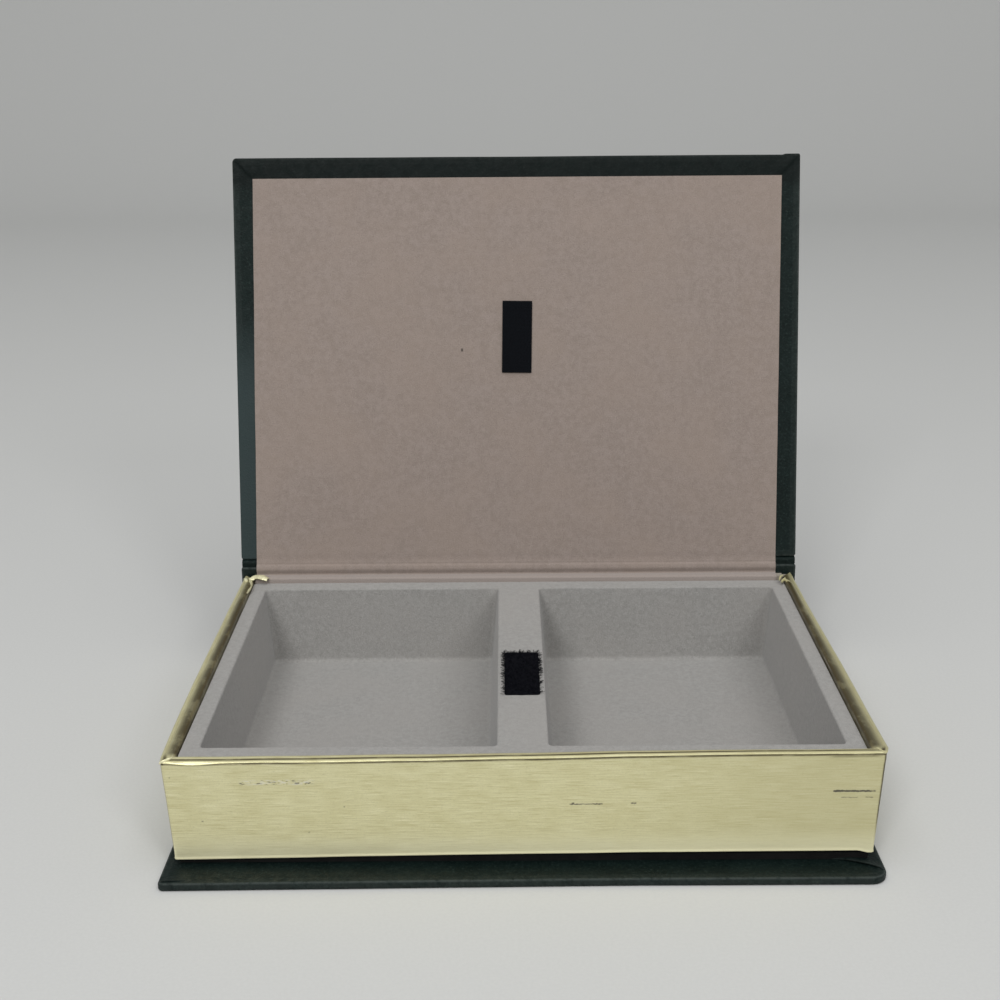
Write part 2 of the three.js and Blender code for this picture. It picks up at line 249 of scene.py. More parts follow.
def rounded_edge(radius, steps):
    """A quarter circle from (radius, 0) to (0, radius), bulging towards (0, 0)."""
    angles = np.linspace(0, math.pi / 2, steps + 1)
    return [(radius * (1 - math.sin(angle)), radius * (1 - math.cos(angle))) for angle in angles]


def raised(outline, height):
    """An outline's points at a height."""
    return np.column_stack([outline, np.full(len(outline), height)])


def stacked_rings(low, high, radii, section, counts, corner_steps=CORNER_STEPS):
    """The points of a ring at each inset and height of a section, and how many points each ring has."""
    rings = [raised(ring(low, high, radii, inset, counts, corner_steps), height) for inset, height in section]
    return np.vstack(rings), len(rings[0])


def loft_faces(rings, count, closed=True):
    """Quads between successive rings of count points each."""
    faces = []
    for base in range(0, (rings - 1) * count, count):
        for i in range(count if closed else count - 1):
            follow = (i + 1) % count
            faces.append((base + i, base + follow, base + count + follow, base + count + i))
    return faces


def last_face(rings, count):
    return tuple(range((rings - 1) * count, rings * count))


def capped_faces(rings, count):
    """Quads between rings, closed by a face over the first and one over the last."""
    return loft_faces(rings, count) + [tuple(reversed(range(count))), last_face(rings, count)]


def closed_sheet(top, under):
    """Points and faces of a thin sheet between two grids of points."""
    rows, columns = top.shape[:2]
    half = rows * columns
    grid = np.arange(half).reshape(rows, columns)
    quads = np.stack([grid[:-1, :-1], grid[:-1, 1:], grid[1:, 1:], grid[1:, :-1]], -1).reshape(-1, 4).tolist()
    faces = [tuple(quad) for quad in quads]
    faces += [tuple(half + i for i in reversed(quad)) for quad in quads]
    rim = np.concatenate([grid[0], grid[1:, -1], grid[-1, -2::-1], grid[-2:0:-1, 0]]).tolist()
    for start, end in zip(rim, rim[1:] + rim[:1]):
        faces.append((start, half + start, half + end, end))
    return np.concatenate([top.reshape(-1, 3), under.reshape(-1, 3)]), faces


def gather(parts):
    """Several point and face lists as one."""
    points, faces, start = [], [], 0
    for part_points, part_faces in parts:
        points.append(part_points)
        faces += [tuple(i + start for i in face) for face in part_faces]
        start += len(part_points)
    return np.vstack(points), faces


def make_piece(name, points, faces, place, slot, body=None, replaced=(), sharp=42, **weights):
    """A mesh piece in the frame. It keeps its flat place and its weights at each point for its material."""
    mesh = bpy.data.meshes.new(name)
    mesh.from_pydata((np.asarray(points) * MM).tolist(), [], faces)
    mesh.shade_smooth()
    mesh.set_sharp_from_angle(angle=math.radians(sharp))
    flat_place = mesh.attributes.new("place", "FLOAT_VECTOR", "POINT")
    flat_place.data.foreach_set("vector", np.asarray(place, np.float32).ravel())
    for weight, values in weights.items():
        attribute = mesh.attributes.new(weight, "FLOAT", "POINT")
        attribute.data.foreach_set("value", np.asarray(values, np.float32).ravel())
    mesh.materials.append(FINISHES[slot])
    piece = add_object(name, mesh)
    if body:
        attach(piece, body)
    if replaced:
        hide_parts(*replaced)
    return piece


# Helpers for materials
class Finish:
    """A material with a principled shader, and short calls for the nodes that feed it."""

    def __init__(self, name, coordinates="place"):
        self.material = bpy.data.materials.new(name)
        self.material.use_nodes = True
        self.tree = self.material.node_tree
        self.tree.nodes.clear()
        self.shader = self.node("BsdfPrincipled")
        self.node("OutputMaterial", {0: self.shader.outputs[0]})
        if coordinates == "place":
            self.place = self.attribute("place", "Vector")
        else:
            self.place = self.scaled(self.node("TexCoord").outputs[coordinates], [1 / MM] * 3)

    def node(self, kind, inputs=None, **settings):
        """A node of a kind, with its settings and with inputs that are values or other nodes' outputs."""
        node = self.tree.nodes.new("ShaderNode" + kind)
        for name, value in settings.items():
            setattr(node, name, value)
        for name, value in (inputs or {}).items():
            self.put(node.inputs[name], value)
        return node

    def put(self, target, value):
        if isinstance(value, bpy.types.NodeSocket):
            self.tree.links.new(value, target)
        else:
            target.default_value = value

    def set(self, **values):
        """Constants, and other nodes' outputs, go straight to the shader's own sockets."""
        for name, value in values.items():
            self.put(self.shader.inputs[name.replace("_", " ")], value)

    def attribute(self, name, output="Fac"):
        return self.node("Attribute", attribute_name=name).outputs[output]

    def axis(self, name):
        return self.node("SeparateXYZ", {0: self.place}).outputs[name]

    def scaled(self, vector, factors):
        return self.node("VectorMath", {0: vector, 1: factors}, operation="MULTIPLY").outputs[0]

    def math(self, operation, a, b):
        return self.node("Math", {0: a, 1: b}, operation=operation).outputs[0]

    def times(self, a, b):
        return self.math("MULTIPLY", a, b)

    def most(self, a, b):
        return self.math("MAXIMUM", a, b)

    def noise(self, size, detail=2.0, roughness=0.5, stretch=(1, 1, 1)):
        """Noise from 0 to 1 whose features are size millimetres across."""
        place = self.scaled(self.place, [1 / (size * factor) for factor in stretch])
        inputs = {"Vector": place, "Scale": 1.0, "Detail": detail, "Roughness": roughness}
        return self.node("TexNoise", inputs).outputs["Fac"]

    def cells(self, size, feature="F1", **shape):
        inputs = {"Vector": self.scaled(self.place, [1 / size] * 3), "Scale": 1.0, **shape}
        return self.node("TexVoronoi", inputs, feature=feature).outputs["Distance"]

    def span(self, value, low, high, to_low=0.0, to_high=1.0):
        """A value's range from low to high, spread smoothly over another range."""
        inputs = {"Value": value, "From Min": low, "From Max": high, "To Min": to_low, "To Max": to_high}
        return self.node("MapRange", inputs, interpolation_type="SMOOTHSTEP").outputs[0]

    def within(self, value, low, high, soft):
        """1 where a value lies between two others, falling off softly."""
        rising = self.span(value, low - soft, low + soft)
        return self.times(rising, self.span(value, high - soft, high + soft, 1, 0))

    def mix(self, share, a, b):
        """Two colours mixed, each a colour or another node's output."""
        a, b = (end if isinstance(end, bpy.types.NodeSocket) else (*end, 1) for end in (a, b))
        return self.node("Mix", {0: share, 6: a, 7: b}, data_type="RGBA").outputs[2]

    def base(self, pattern, dark, light, low=0.3, high=0.7):
        """Start the tone from two colours, mottled by a pattern."""
        self.tone = self.mix(self.span(pattern, low, high), dark, light)

    def tint(self, share, colour):
        """Mix a colour into the tone so far."""
        self.tone = self.mix(share, self.tone, colour)

    def fleck(self, pattern, low, high, share, colour):
        """Mix a colour into the tone where a pattern goes from low to high."""
        self.tint(self.span(pattern, low, high, 0, share), colour)

    def bump(self, height, depth, after=None):
        """Relief of a given depth in millimetres, on top of another."""
        inputs = {"Strength": 1.0, "Distance": depth * MM, "Height": height}
        if after is not None:
            inputs["Normal"] = after
        return self.node("Bump", inputs).outputs[0]

    def done(self, relief=None):
        """The material, with its tone and relief in place."""
        self.set(Base_Color=self.tone)
        if relief is not None:
            self.set(Normal=relief)
        return self.material


# Materials
def leatherette_finish():
    """Dark green bookbinder's leatherette: fine pebbles, soft scuffs, edges lighter from wear and a painted
    highlight, and painted sheen and shade on the lid's inner side.
    """
    finish = Finish("green_leatherette")
    pebbles = finish.cells(0.8, "SMOOTH_F1", Smoothness=0.6)
    creases = finish.noise(0.35, 3.0)
    blotches = finish.noise(9.0, 4.0, 0.6)
    flecks = finish.noise(1.0, 4.0, 0.7)
    finish.base(blotches, (0.0036, 0.008, 0.0072), (0.0056, 0.0115, 0.0105))
    finish.fleck(flecks, 0.53, 0.68, 0.8, (0.0175, 0.028, 0.0255))
    finish.fleck(flecks, 0.47, 0.32, 0.75, (0.0014, 0.0032, 0.003))
    # Lighter edges: partly real wear, partly a painted highlight along the edge's ridge and the loose lips
    rubbed = finish.span(finish.noise(2.2, 5.0, 0.7), 0.3, 0.56, 0.25, 1.0)
    wear = finish.times(finish.attribute("wear"), rubbed)
    finish.tint(finish.times(wear, 0.9), (0.048, 0.058, 0.054))
    # Painted sheen on the lid's low left border, and painted shade along its free edge
    finish.tint(finish.times(finish.attribute("sheen"), 0.85), (0.033, 0.048, 0.049))
    finish.tint(finish.times(finish.attribute("shade"), 0.6), (0.0008, 0.002, 0.0018))
    finish.set(Roughness=finish.span(finish.noise(3.0, 3.0), 0.3, 0.7, 0.46, 0.6), Specular_IOR_Level=0.12)
    relief = finish.bump(pebbles, 0.09)
    relief = finish.bump(creases, 0.05, relief)
    return finish.done(relief)


# Marks on the gilt front: left end, right end and height in millimetres, half width, darkness
GILT_MARKS = (
    (15.4, 26.4, 25.1, 0.2, 0.9), (16.0, 16.9, 25.4, 0.3, 0.9), (35.9, 37.6, 25.3, 0.28, 0.85),
    (102.7, 116.6, 29.1, 0.34, 0.95), (105.5, 111.0, 26.75, 0.14, 0.6), (113.6, 116.0, 26.85, 0.16, 0.7),
    (-93.8, -93.0, 33.95, 0.25, 0.85), (-88.2, -86.4, 33.85, 0.22, 0.85), (-84.6, -81.8, 34.45, 0.2, 0.75),
    (-75.6, -74.2, 33.85, 0.32, 0.95), (-72.2, -70.4, 34.0, 0.26, 0.9), (-116.4, -116.0, 36.6, 0.28, 0.8),
    (-107.8, -107.2, 19.5, 0.25, 0.6), (-72.5, -72.0, 15.1, 0.25, 0.6), (-60.0, -59.6, 24.6, 0.25, 0.6),
)
RUB_ACROSS, RUB_UP = (-93.5, -69.5), (33.3, 35.3)
# Height up to which painted light makes the gilt front paler towards its foot
FOOT_PAINTED_LIGHT = 17.0


def gilt_finish():
    """Gilt paper: brushed along the edge and mottled, with painted shade in its creases, painted light and
    shade across its front, and rubs and scratches.
    """
    finish = Finish("gilt_paper")
    across, up = finish.axis("X"), finish.axis("Y")
    streaks = finish.noise(0.5, 5.0, 0.68, (22, 0.7, 1))
    short_streaks = finish.noise(0.4, 4.0, 0.65, (8, 0.7, 1))
    mottle = finish.noise(6.0, 6.0, 0.7, (2, 1, 1))
    finish.base(mottle, (0.655, 0.615, 0.35), (0.725, 0.69, 0.42), 0.32, 0.68)
    finish.fleck(streaks, 0.5, 0.64, 0.72, (0.53, 0.48, 0.245))
    finish.fleck(streaks, 0.46, 0.32, 0.72, (0.85, 0.81, 0.57))
    finish.fleck(short_streaks, 0.58, 0.72, 0.6, (0.4, 0.365, 0.18))
    finish.fleck(finish.noise(0.6, 3.0, 0.8), 0.5, 0.72, 0.5, (0.5, 0.47, 0.27))
    # Painted shade: the gilt front grows darker towards its right end
    finish.fleck(across, 10.0, 115.0, 0.55, (0.5, 0.465, 0.26))
    # Painted light: the gilt front grows paler towards its foot
    finish.tint(finish.span(up, FOOT_PAINTED_LIGHT, 5.0, 0, 0.55), (0.9, 0.87, 0.6))
    broken = finish.span(finish.noise(5.0, 4.0, 0.7, (2.5, 1, 1)), 0.36, 0.52, 0.8, 1.0)
    # Painted shade in the foil's creases, on the side rims' inner halves and at the upright corners
    painted_crease_shade = finish.times(finish.attribute("crease"), broken)
    finish.tint(painted_crease_shade, (0.075, 0.06, 0.024))
    wobble = finish.times(finish.math("SUBTRACT", finish.noise(1.2, 3.0), 0.5), 0.8)
    ragged_up = finish.math("ADD", up, wobble)
    dark = 0.0
    for left, right, height, half, strength in GILT_MARKS:
        mark = finish.times(finish.within(across, left, right, 0.3),
                            finish.within(ragged_up, height - half, height + half, 0.12))
        dark = finish.most(dark, finish.times(mark, strength))
    ragged = finish.noise(1.5, 4.0, 0.75, (2.5, 0.6, 1))
    dark = finish.times(dark, finish.span(ragged, 0.36, 0.5, 0.3, 1.0))
    finish.tint(dark, (0.05, 0.045, 0.035))
    rub = finish.times(finish.within(across, *RUB_ACROSS, 1.0), finish.within(ragged_up, *RUB_UP, 0.25))
    chips = finish.noise(0.8, 3.0, 0.6, (2.6, 0.9, 1))
    bare = finish.times(rub, finish.span(chips, 0.5, 0.58, 0, 0.65))
    stained = finish.times(rub, finish.span(chips, 0.42, 0.36, 0, 0.7))
    finish.tint(bare, (0.68, 0.66, 0.57))
    finish.tint(stained, (0.1, 0.09, 0.07))
    scars = finish.most(dark, finish.most(bare, stained))
    finish.set(Metallic=finish.span(scars, 0, 1, 0.42, 0.0))
    finish.set(Roughness=finish.span(mottle, 0.3, 0.7, 0.3, 0.4))
    relief = finish.bump(streaks, 0.02)
    relief = finish.bump(finish.noise(5.0, 2.0, 0.5, (4, 1, 1)), 0.03, relief)
    return finish.done(relief)


def flock_finish():
    """Grey flocking sprayed on the tray, matt with a fine nap."""
    finish = Finish("grey_flock")
    nap = finish.noise(0.5, 4.0, 0.75)
    clumps = finish.noise(1.8, 4.0, 0.65)
    drift = finish.noise(28.0, 3.0)
    finish.base(clumps, (0.262, 0.256, 0.243), (0.318, 0.311, 0.298))
    finish.fleck(drift, 0.35, 0.7, 0.5, (0.305, 0.292, 0.276))
    finish.fleck(nap, 0.54, 0.7, 0.75, (0.4, 0.392, 0.376))
    finish.fleck(nap, 0.46, 0.3, 0.75, (0.18, 0.175, 0.165))
    finish.set(Roughness=0.95, Specular_IOR_Level=0.2, Sheen_Weight=0.25, Sheen_Roughness=0.6)
    return finish.done(finish.bump(clumps, 0.12, finish.bump(nap, 0.18)))


# A dark speck on the lid's lining: across and from the hinge
SPECK_ACROSS, SPECK_ALONG = (-24.1, -23.3), (96.7, 98.0)
# Along the lining, where the painted light over the back wall's top ends
WALL_TOP_END = -0.2


def lining_finish():
    """Pinkish-grey lining paper with a suede-like face and fine specks, and painted light that makes it paler
    over the wall's top.
    """
    finish = Finish("lining_paper")
    across, along = finish.axis("X"), finish.axis("Y")
    nap = finish.noise(0.5, 4.0, 0.75)
    mottle = finish.noise(2.4, 5.0, 0.7)
    drift = finish.noise(35.0, 3.0, 0.55)
    finish.base(mottle, (0.24, 0.196, 0.17), (0.288, 0.238, 0.212))
    finish.fleck(drift, 0.35, 0.7, 0.55, (0.284, 0.228, 0.194))
    # Painted light: the lining is paler where it runs over the back wall's top
    over_wall = finish.span(along, WALL_TOP_END - 0.5, WALL_TOP_END + 0.5, 0.75, 0)
    finish.tint(over_wall, (0.325, 0.283, 0.26))
    finish.fleck(nap, 0.54, 0.7, 0.7, (0.365, 0.312, 0.28))
    finish.fleck(nap, 0.46, 0.3, 0.7, (0.165, 0.132, 0.114))
    speck = finish.times(finish.within(across, *SPECK_ACROSS, 0.35), finish.within(along, *SPECK_ALONG, 0.35))
    finish.tint(speck, (0.05, 0.042, 0.036))
    finish.set(Roughness=0.92, Specular_IOR_Level=0.2, Sheen_Weight=0.15, Sheen_Roughness=0.6)
    return finish.done(finish.bump(mottle, 0.1, finish.bump(nap, 0.14)))


def tape_finish(name, tone, sheen):
    """Black nylon of the hook-and-loop tape."""
    finish = Finish(name)
    weave = finish.cells(0.45)
    dust = finish.noise(0.5, 4.0, 0.7)
    finish.base(weave, tone, [value * 1.8 for value in tone], 0.1, 0.5)
    finish.fleck(dust, 0.62, 0.74, 0.35, (0.035, 0.035, 0.04))
    finish.set(Roughness=0.75, Specular_IOR_Level=0.04, Sheen_Weight=sheen, Sheen_Roughness=0.4)
    return finish.done(finish.bump(weave, 0.12))


def board_finish(name, dark, light):
    """Pressed fibre board, with fibres and flecks."""
    finish = Finish(name, "Object")
    fibres = finish.noise(0.6, 5.0, 0.7, (3, 1, 1))
    clouds = finish.noise(6.0, 4.0, 0.6)
    finish.base(clouds, dark, light)
    finish.fleck(fibres, 0.56, 0.72, 0.6, [value * 1.35 for value in light])
    finish.fleck(fibres, 0.44, 0.3, 0.6, [value * 0.6 for value in dark])
    finish.set(Roughness=0.93, Specular_IOR_Level=0.2)
    return finish.done(finish.bump(fibres, 0.12))


FINISHES = {
    "green_leatherette": leatherette_finish(),
    "gilt_paper": gilt_finish(),
    "grey_flock": flock_finish(),
    "lining_paper": lining_finish(),
    "black_loop": tape_finish("black_loop", (0.0022, 0.0024, 0.0036), 0.005),
    "black_hook": tape_finish("black_hook", (0.0028, 0.0032, 0.0042), 0.0),
    "greyboard": board_finish("greyboard", (0.27, 0.24, 0.2), (0.36, 0.33, 0.28)),
    # Near-black board: painted shade for the recess under the block's gilt walls
    "dark_board": board_finish("dark_board", (0.004, 0.004, 0.004), (0.008, 0.0078, 0.0075)),
}

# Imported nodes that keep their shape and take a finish
DRESSED = {
    "greyboard": ("spine_board", "lid_board", "back_wall", "front_ledge", "back_ledge", "left_ledge",
                  "right_ledge"),
    # The block's floor board is near black, as painted shade in the recess under the gilt walls
    "dark_board": ("block_floor_board",),
}
for slot, nodes in DRESSED.items():
    for node in nodes:
        materials = frame["nodes"][node].data.materials
        materials.clear()
        materials.append(FINISHES[slot])


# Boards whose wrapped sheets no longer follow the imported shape
BOARD_EDGE = 0.15
BOARD_SPACING = 3.0


def redrawn_board(name, node, radii, shape, left_trim=0.0, right_trim=0.0):
    """A board of a node's size with its own corner radii and shape, trimmed on its left and right."""
    low, high = corners(node)
    low, high = low + (left_trim, 0, 0), high - (right_trim, 0, 0)
    edge = BOARD_EDGE
    section = ((edge, low[2]), (0, low[2] + edge), (0, high[2] - edge), (edge, high[2]))
    points, count = stacked_rings(low[:2], high[:2], radii, section, ring_counts(low, high, BOARD_SPACING))
    make_piece(name, shape(points), capped_faces(len(section), count), points, "greyboard", "box", [node])


# Boards wrapped in leatherette
RING_SPACING = 1.1


def cover_section(thick, deepest):
    """Inset and height of the skin, from the outer face over the turned-in margin and back inside."""
    radius, skin = COVER_EDGE_RADIUS, LEATHER_THICK
    edge = rounded_edge(radius, 5)
    section = [(inset, 0.0) for inset in (deepest, deepest / 2, 6, 3, 1.6)] + edge
    section += [(0, radius + (thick - 2 * radius) * share) for share in (0.35, 0.65)]
    section += [(inset, thick - depth) for depth, inset in edge]
    section += [(inset, thick) for inset in np.arange(radius + 0.5, TURN_IN - 0.2, 0.6)]
    section += [(TURN_IN - 0.1, thick), (TURN_IN, thick - 0.1), (TURN_IN, thick - skin)]
    return section + [(skin, thick - skin), (skin, skin), (deepest, skin)]


def wrapped_board(name, low, high, radii, thick, shape, to_frame, body, replaced, more_weights=None):
    """A board's skin of leatherette. shape moves its flat points, and to_frame places them."""
    section = cover_section(thick, min(30.0, 0.4 * (high[1] - low[1])))
    flat, count = stacked_rings(low, high, radii, section, ring_counts(low, high, RING_SPACING))
    weights = {"wear": np.repeat([edge_wear(inset, height, thick) for inset, height in section], count)}
    if more_weights:
        weights.update(more_weights(flat))
    faces = capped_faces(len(section), count)
    make_piece(name, to_frame(shape(flat)), faces, flat, "green_leatherette", body, replaced, **weights)


def edge_wear(inset, height, thick):
    """Weights for wear and a painted highlight: a painted highlight along the turned-in edge's ridge, and a
    little wear over the rest of the edge.
    """
    if inset > 3:
        return 0.0
    ridge = bell(inset, 0.35, 0.45) * bell(height, thick, 0.5)
    return float(max(ridge, 0.3 if inset < COVER_EDGE_RADIUS else 0.15))


def edge_distance(flat, low, high):
    """How far flat points lie inside a rectangle."""
    x, y = flat[:, 0], flat[:, 1]
    return np.minimum(np.minimum(x - low[0], high[0] - x), np.minimum(y - low[1], high[1] - y))


def on_inner_face(flat, thick):
    """1 on the turned-in side, falling to 0 over the edge."""
    return smoothstep(0.35 * thick, 0.95 * thick, flat[:, 2])


def fold_rise(flat, start, end, rise, reach):
    """The step where a folded corner's layers overlap along a line. It falls off on the line's left."""
    start, end = np.array(start, float), np.array(end, float)
    length = np.linalg.norm(end - start)
    direction = (end - start) / length
    offset = flat[:, :2] - start
    along = offset @ direction
    left = offset @ np.array([-direction[1], direction[0]])
    ends = smoothstep(-1.0, 1.5, along) * (1 - smoothstep(length - 1.5, length + 1.0, along))
    step = smoothstep(-0.3, 0.25, left) * (1 - smoothstep(0.35 * reach, reach, left))
    return rise * step * ends


# Lower cover, lying flat. Its right-hand front corner is rounded, and a layer of the turn-in lifts there.
LOWER_RADII = (5.8, 1.2, 1.2, 2.0)
LOWER_BOARD_RADII = (5.2, 1.0, 1.0, 1.4)
LOWER_TRIM = 0.4
FRONT_EDGE_OUT = ((-121, 2.2), (-60, 1.5), (40, 0.4), (121, 0.6))


def front_edge_out(flat):
    """The worn front edge of the lower cover isn't quite straight: how far it lies forward."""
    return level_at(flat[:, 0], FRONT_EDGE_OUT) * smoothstep(-20, -88, flat[:, 1])


def shape_lower_cover(flat):
    flat = flat.copy()
    inner = on_inner_face(flat, COVER_THICK)
    near_edge = smoothstep(4, 0, edge_distance(flat, COVER_LOW, COVER_HIGH))
    outward = 0.16 * flat_wave(flat, 45.0, 3.0) * near_edge
    flat[:, 2] += inner * 0.05 * flat_wave(flat, 14.0)
    flat[:, 1] += outward - front_edge_out(flat)
    return flat


def lower_board(flat):
    return flat - np.outer(front_edge_out(flat), (0, 1, 0))


def lower_cover():
    low, high = COVER_LOW[:2], COVER_HIGH[:2] - (LOWER_TRIM, 0)
    wrapped_board("lower_cover_wrap", low, high, LOWER_RADII, COVER_THICK, shape_lower_cover,
                  lambda flat: flat, "box", ["lower_cover_leatherette"])
    redrawn_board("lower_cover_greyboard", "lower_cover_board", LOWER_BOARD_RADII, lower_board,
                  right_trim=LOWER_TRIM)


# Loose edges where the turned-in layers overlap at the front corners: name, lip from left to right, reach to
# the back, and lift
LOOSE_EDGES = (
    ("right", ((103.8, -80.1), (107.5, -81.2), (111.2, -82.8), (114.8, -84.4), (118.0, -85.8),
               (119.7, -87.2)), 9.0, 0.9),
    ("left", ((-120.6, -92.2), (-118.4, -92.1), (-115.6, -91.9), (-112.0, -91.4)), 4.5, 0.45),
)
# The loose lips are lighter along their edge: a painted highlight with some wear
LOOSE_ROWS, LOOSE_LIP_WEAR_AND_HIGHLIGHT = 10, 0.35


def loose_edge(name, lip, reach, lift):
    """A layer that lifts off along its lip, with a dark gap under it, and lies flat further back."""
    lip = smooth_path(lip, 7)
    along = np.linspace(0, 1, len(lip))[:, None]
    back = np.linspace(0, 1, LOOSE_ROWS)[None, :]
    rise = lift * np.sin(math.pi * along) ** 0.8 * (1 - back) ** 1.5
    height = COVER_THICK + 0.07 - 0.12 * back + rise
    top = np.stack([lip[:, :1] + 0 * back, lip[:, 1:] + reach * back, height], -1)
    points, faces = closed_sheet(top, top - (0, 0, LEATHER_THICK * 0.7))
    faces = [face[::-1] for face in faces]
    # Painted highlight with some wear along the lifted lip, fading towards the back
    worn = LOOSE_LIP_WEAR_AND_HIGHLIGHT * (1 - np.clip(back * 3.0, 0, 1)) + 0 * along
    make_piece("turn_in_edge_" + name, points, faces, points, "green_leatherette", "box",
               wear=np.tile(worn.ravel(), 2))


# Spine, standing between the joints, and its lower joint under the block
SPINE_RADII = (1.4, 1.2, 1.2, 1.4)


def shape_spine(flat):
    flat = flat.copy()
    outer = 1 - on_inner_face(flat, COVER_THICK)
    flat[:, 2] += outer * 0.05 * (flat_wave(flat, 18.0, 9.0) + 1)
    return flat


def stand_at_back(flat):
    return np.column_stack([flat[:, 0], SPINE_OUT - flat[:, 2], flat[:, 1]])


def spine():
    low, high = (-HALF_COVER, SPINE_LOW[2]), (HALF_COVER, SPINE_HIGH[2])
    wrapped_board("spine_wrap", low, high, SPINE_RADII, COVER_THICK, shape_spine, stand_at_back, "box",
                  ["spine_leatherette"])


STRIP_SPACING = 1.5


def strip(path, low_x, high_x, front, back):
    """A closed sheet along a path in Y and Z, and across in X. front and back are its thickness to each side.
    Gives its points, faces, and flat places (across, along, side)."""
    path = np.asarray(path, float)
    normals = path_normals(path)
    columns = max(2, round((np.max(high_x) - np.min(low_x)) / STRIP_SPACING))
    low_x, high_x = np.broadcast_to(low_x, len(path)), np.broadcast_to(high_x, len(path))
    x = low_x[:, None] + (high_x - low_x)[:, None] * np.linspace(0, 1, columns + 1)
    along = np.broadcast_to(path_length(path)[:, None], x.shape)
    layers, places = [], []
    for side, thick in ((1, front), (-1, back)):
        offset = path + side * normals * np.broadcast_to(thick, len(path))[:, None]
        y, z = (np.broadcast_to(offset[:, axis, None], x.shape) for axis in (0, 1))
        layers.append(np.stack([x, y, z], -1))
        places.append(np.stack([x, along, np.full(x.shape, float(side))], -1).reshape(-1, 3))
    points, faces = closed_sheet(*layers)
    return points, faces, np.concatenate(places)


# Half the thickness of the joints' leatherette
JOINT_HALF_THICK = 0.18

# The lower joint: leatherette pressed up into the groove between lower cover and spine
GROOVE_PATH = ((80.9, 1.3), (81.8, 1.7), (82.3, 2.35), (83.3, 2.66), (86.8, 2.66), (87.8, 2.4), (88.4, 1.8),
               (89.2, 1.3))


def lower_joint():
    side, half = HALF_COVER - 0.6, JOINT_HALF_THICK
    points, faces, place = strip(smooth_path(GROOVE_PATH), -side, side, half, half)
    make_piece("lower_joint_leatherette", points, faces, place, "green_leatherette", "box",
               ["spine_leatherette"])


# Lid, drawn flat with its outer face down. Its free right-hand corner is squarer, with a fold on its edge.
LID_RADII = (1.3, 0.9, 1.8, 1.3)


def shape_lid(flat):
    flat = flat.copy()
    free_edge = LID_HIGH[1]
    step = 0.4 * smoothstep(114.0, 114.8, flat[:, 0]) * smoothstep(-3.0, 0.0, flat[:, 1] - free_edge)
    lift = fold_rise(flat, (-122.0, free_edge + 1.0), (-112.5, free_edge - 8.5), 0.25, 5.0)
    lift += fold_rise(flat, (112.5, free_edge - 8.5), (122.0, free_edge + 1.0), 0.25, 5.0)
    lift += 0.05 * flat_wave(flat, 12.0, 5.0)
    near_edge = smoothstep(4, 0, edge_distance(flat, LID_LOW, LID_HIGH))
    outward = 0.14 * flat_wave(flat, 38.0, 8.0) * near_edge
    flat[:, 2] += on_inner_face(flat, COVER_THICK) * lift
    flat[:, 1] += step + outward
    return flat


def lid_light(flat):
    """Painted sheen along the lid inner side's low left border, and painted shade along its free edge."""
    across, along, _ = flat.T
    inner = on_inner_face(flat, COVER_THICK)
    low_left = smoothstep(-103, -109, across) * smoothstep(122, 75, along)
    return {"sheen": inner * low_left, "shade": inner * smoothstep(164, 170, along)}


def lid_cover():
    bottom = LID_LOW[2]
    wrapped_board("lid_wrap", LID_LOW[:2], LID_HIGH[:2], LID_RADII, LID_HIGH[2] - bottom, shape_lid,
                  lambda flat: from_lid(flat + (0, 0, bottom)), "lid", ["lid_leatherette"], lid_light)


def on_lid(along, facing):
    """A lid place as Y and Z."""
    return tuple(from_lid((0, along, facing))[1:])


def bend_at_hinge(piece):
    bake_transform(piece)


def joint_leatherette():
    """The sheet from the spine's top to the lid's edge, behind the lining."""
    on_spine = [(91.0, 46.3), (90.85, 46.75), (90.3, 46.97), (89.5, 47.03)]
    to_edge = [on_lid(4.15, -0.72), on_lid(4.7, -0.56), on_lid(5.4, -0.45), on_lid(6.0, -0.55),
               on_lid(6.42, -0.95), on_lid(6.55, -1.7), on_lid(7.0, -2.2)]
    side = HALF_COVER - 0.4
    points, faces, place = strip(smooth_path(on_spine + to_edge, 8), -side, side, JOINT_HALF_THICK, 0.17)
    piece = make_piece("joint_leatherette_bend", points, faces, place, "green_leatherette",
                       replaced=["joint_leatherette"])
    bend_at_hinge(piece)


# Lining: one sheet from behind the tray, over the back wall, through the joint and up the lid. It is glued a
# little askew, so its left and right edges are given at the hinge and at the free edge.
LINING_LEFT = (-114.2, -112.3)
LINING_RIGHT = (112.0, 113.0)


def lining_path():
    front = BACK_LINING_LOW[1] - 0.13
    inside_spine = HINGE_Y + 0.13
    over_wall = [(front, BACK_LINING_LOW[2]), (front, 42.0), (84.8, 42.75), (85.35, 43.12), (86.2, 43.2),
                 (87.2, 43.2)]
    up_spine = [(87.8, 43.45), (inside_spine, 44.1), (87.83, 44.9), (87.68, 45.6), (87.72, 46.2),
                (87.95, 46.85), (88.2, 47.35)]
    to_panel = [on_lid(4.7, 0.1), on_lid(5.4, 0.04), on_lid(6.2, -0.1), on_lid(7.2, -0.19), on_lid(9, -0.2),
                on_lid(11, -0.2)]
    panel = [on_lid(along, -0.2) for along in (*np.arange(13, LINING_END - 0.5, 2.0), LINING_END)]
    return np.vstack([smooth_path(over_wall + up_spine + to_panel, 7), panel])


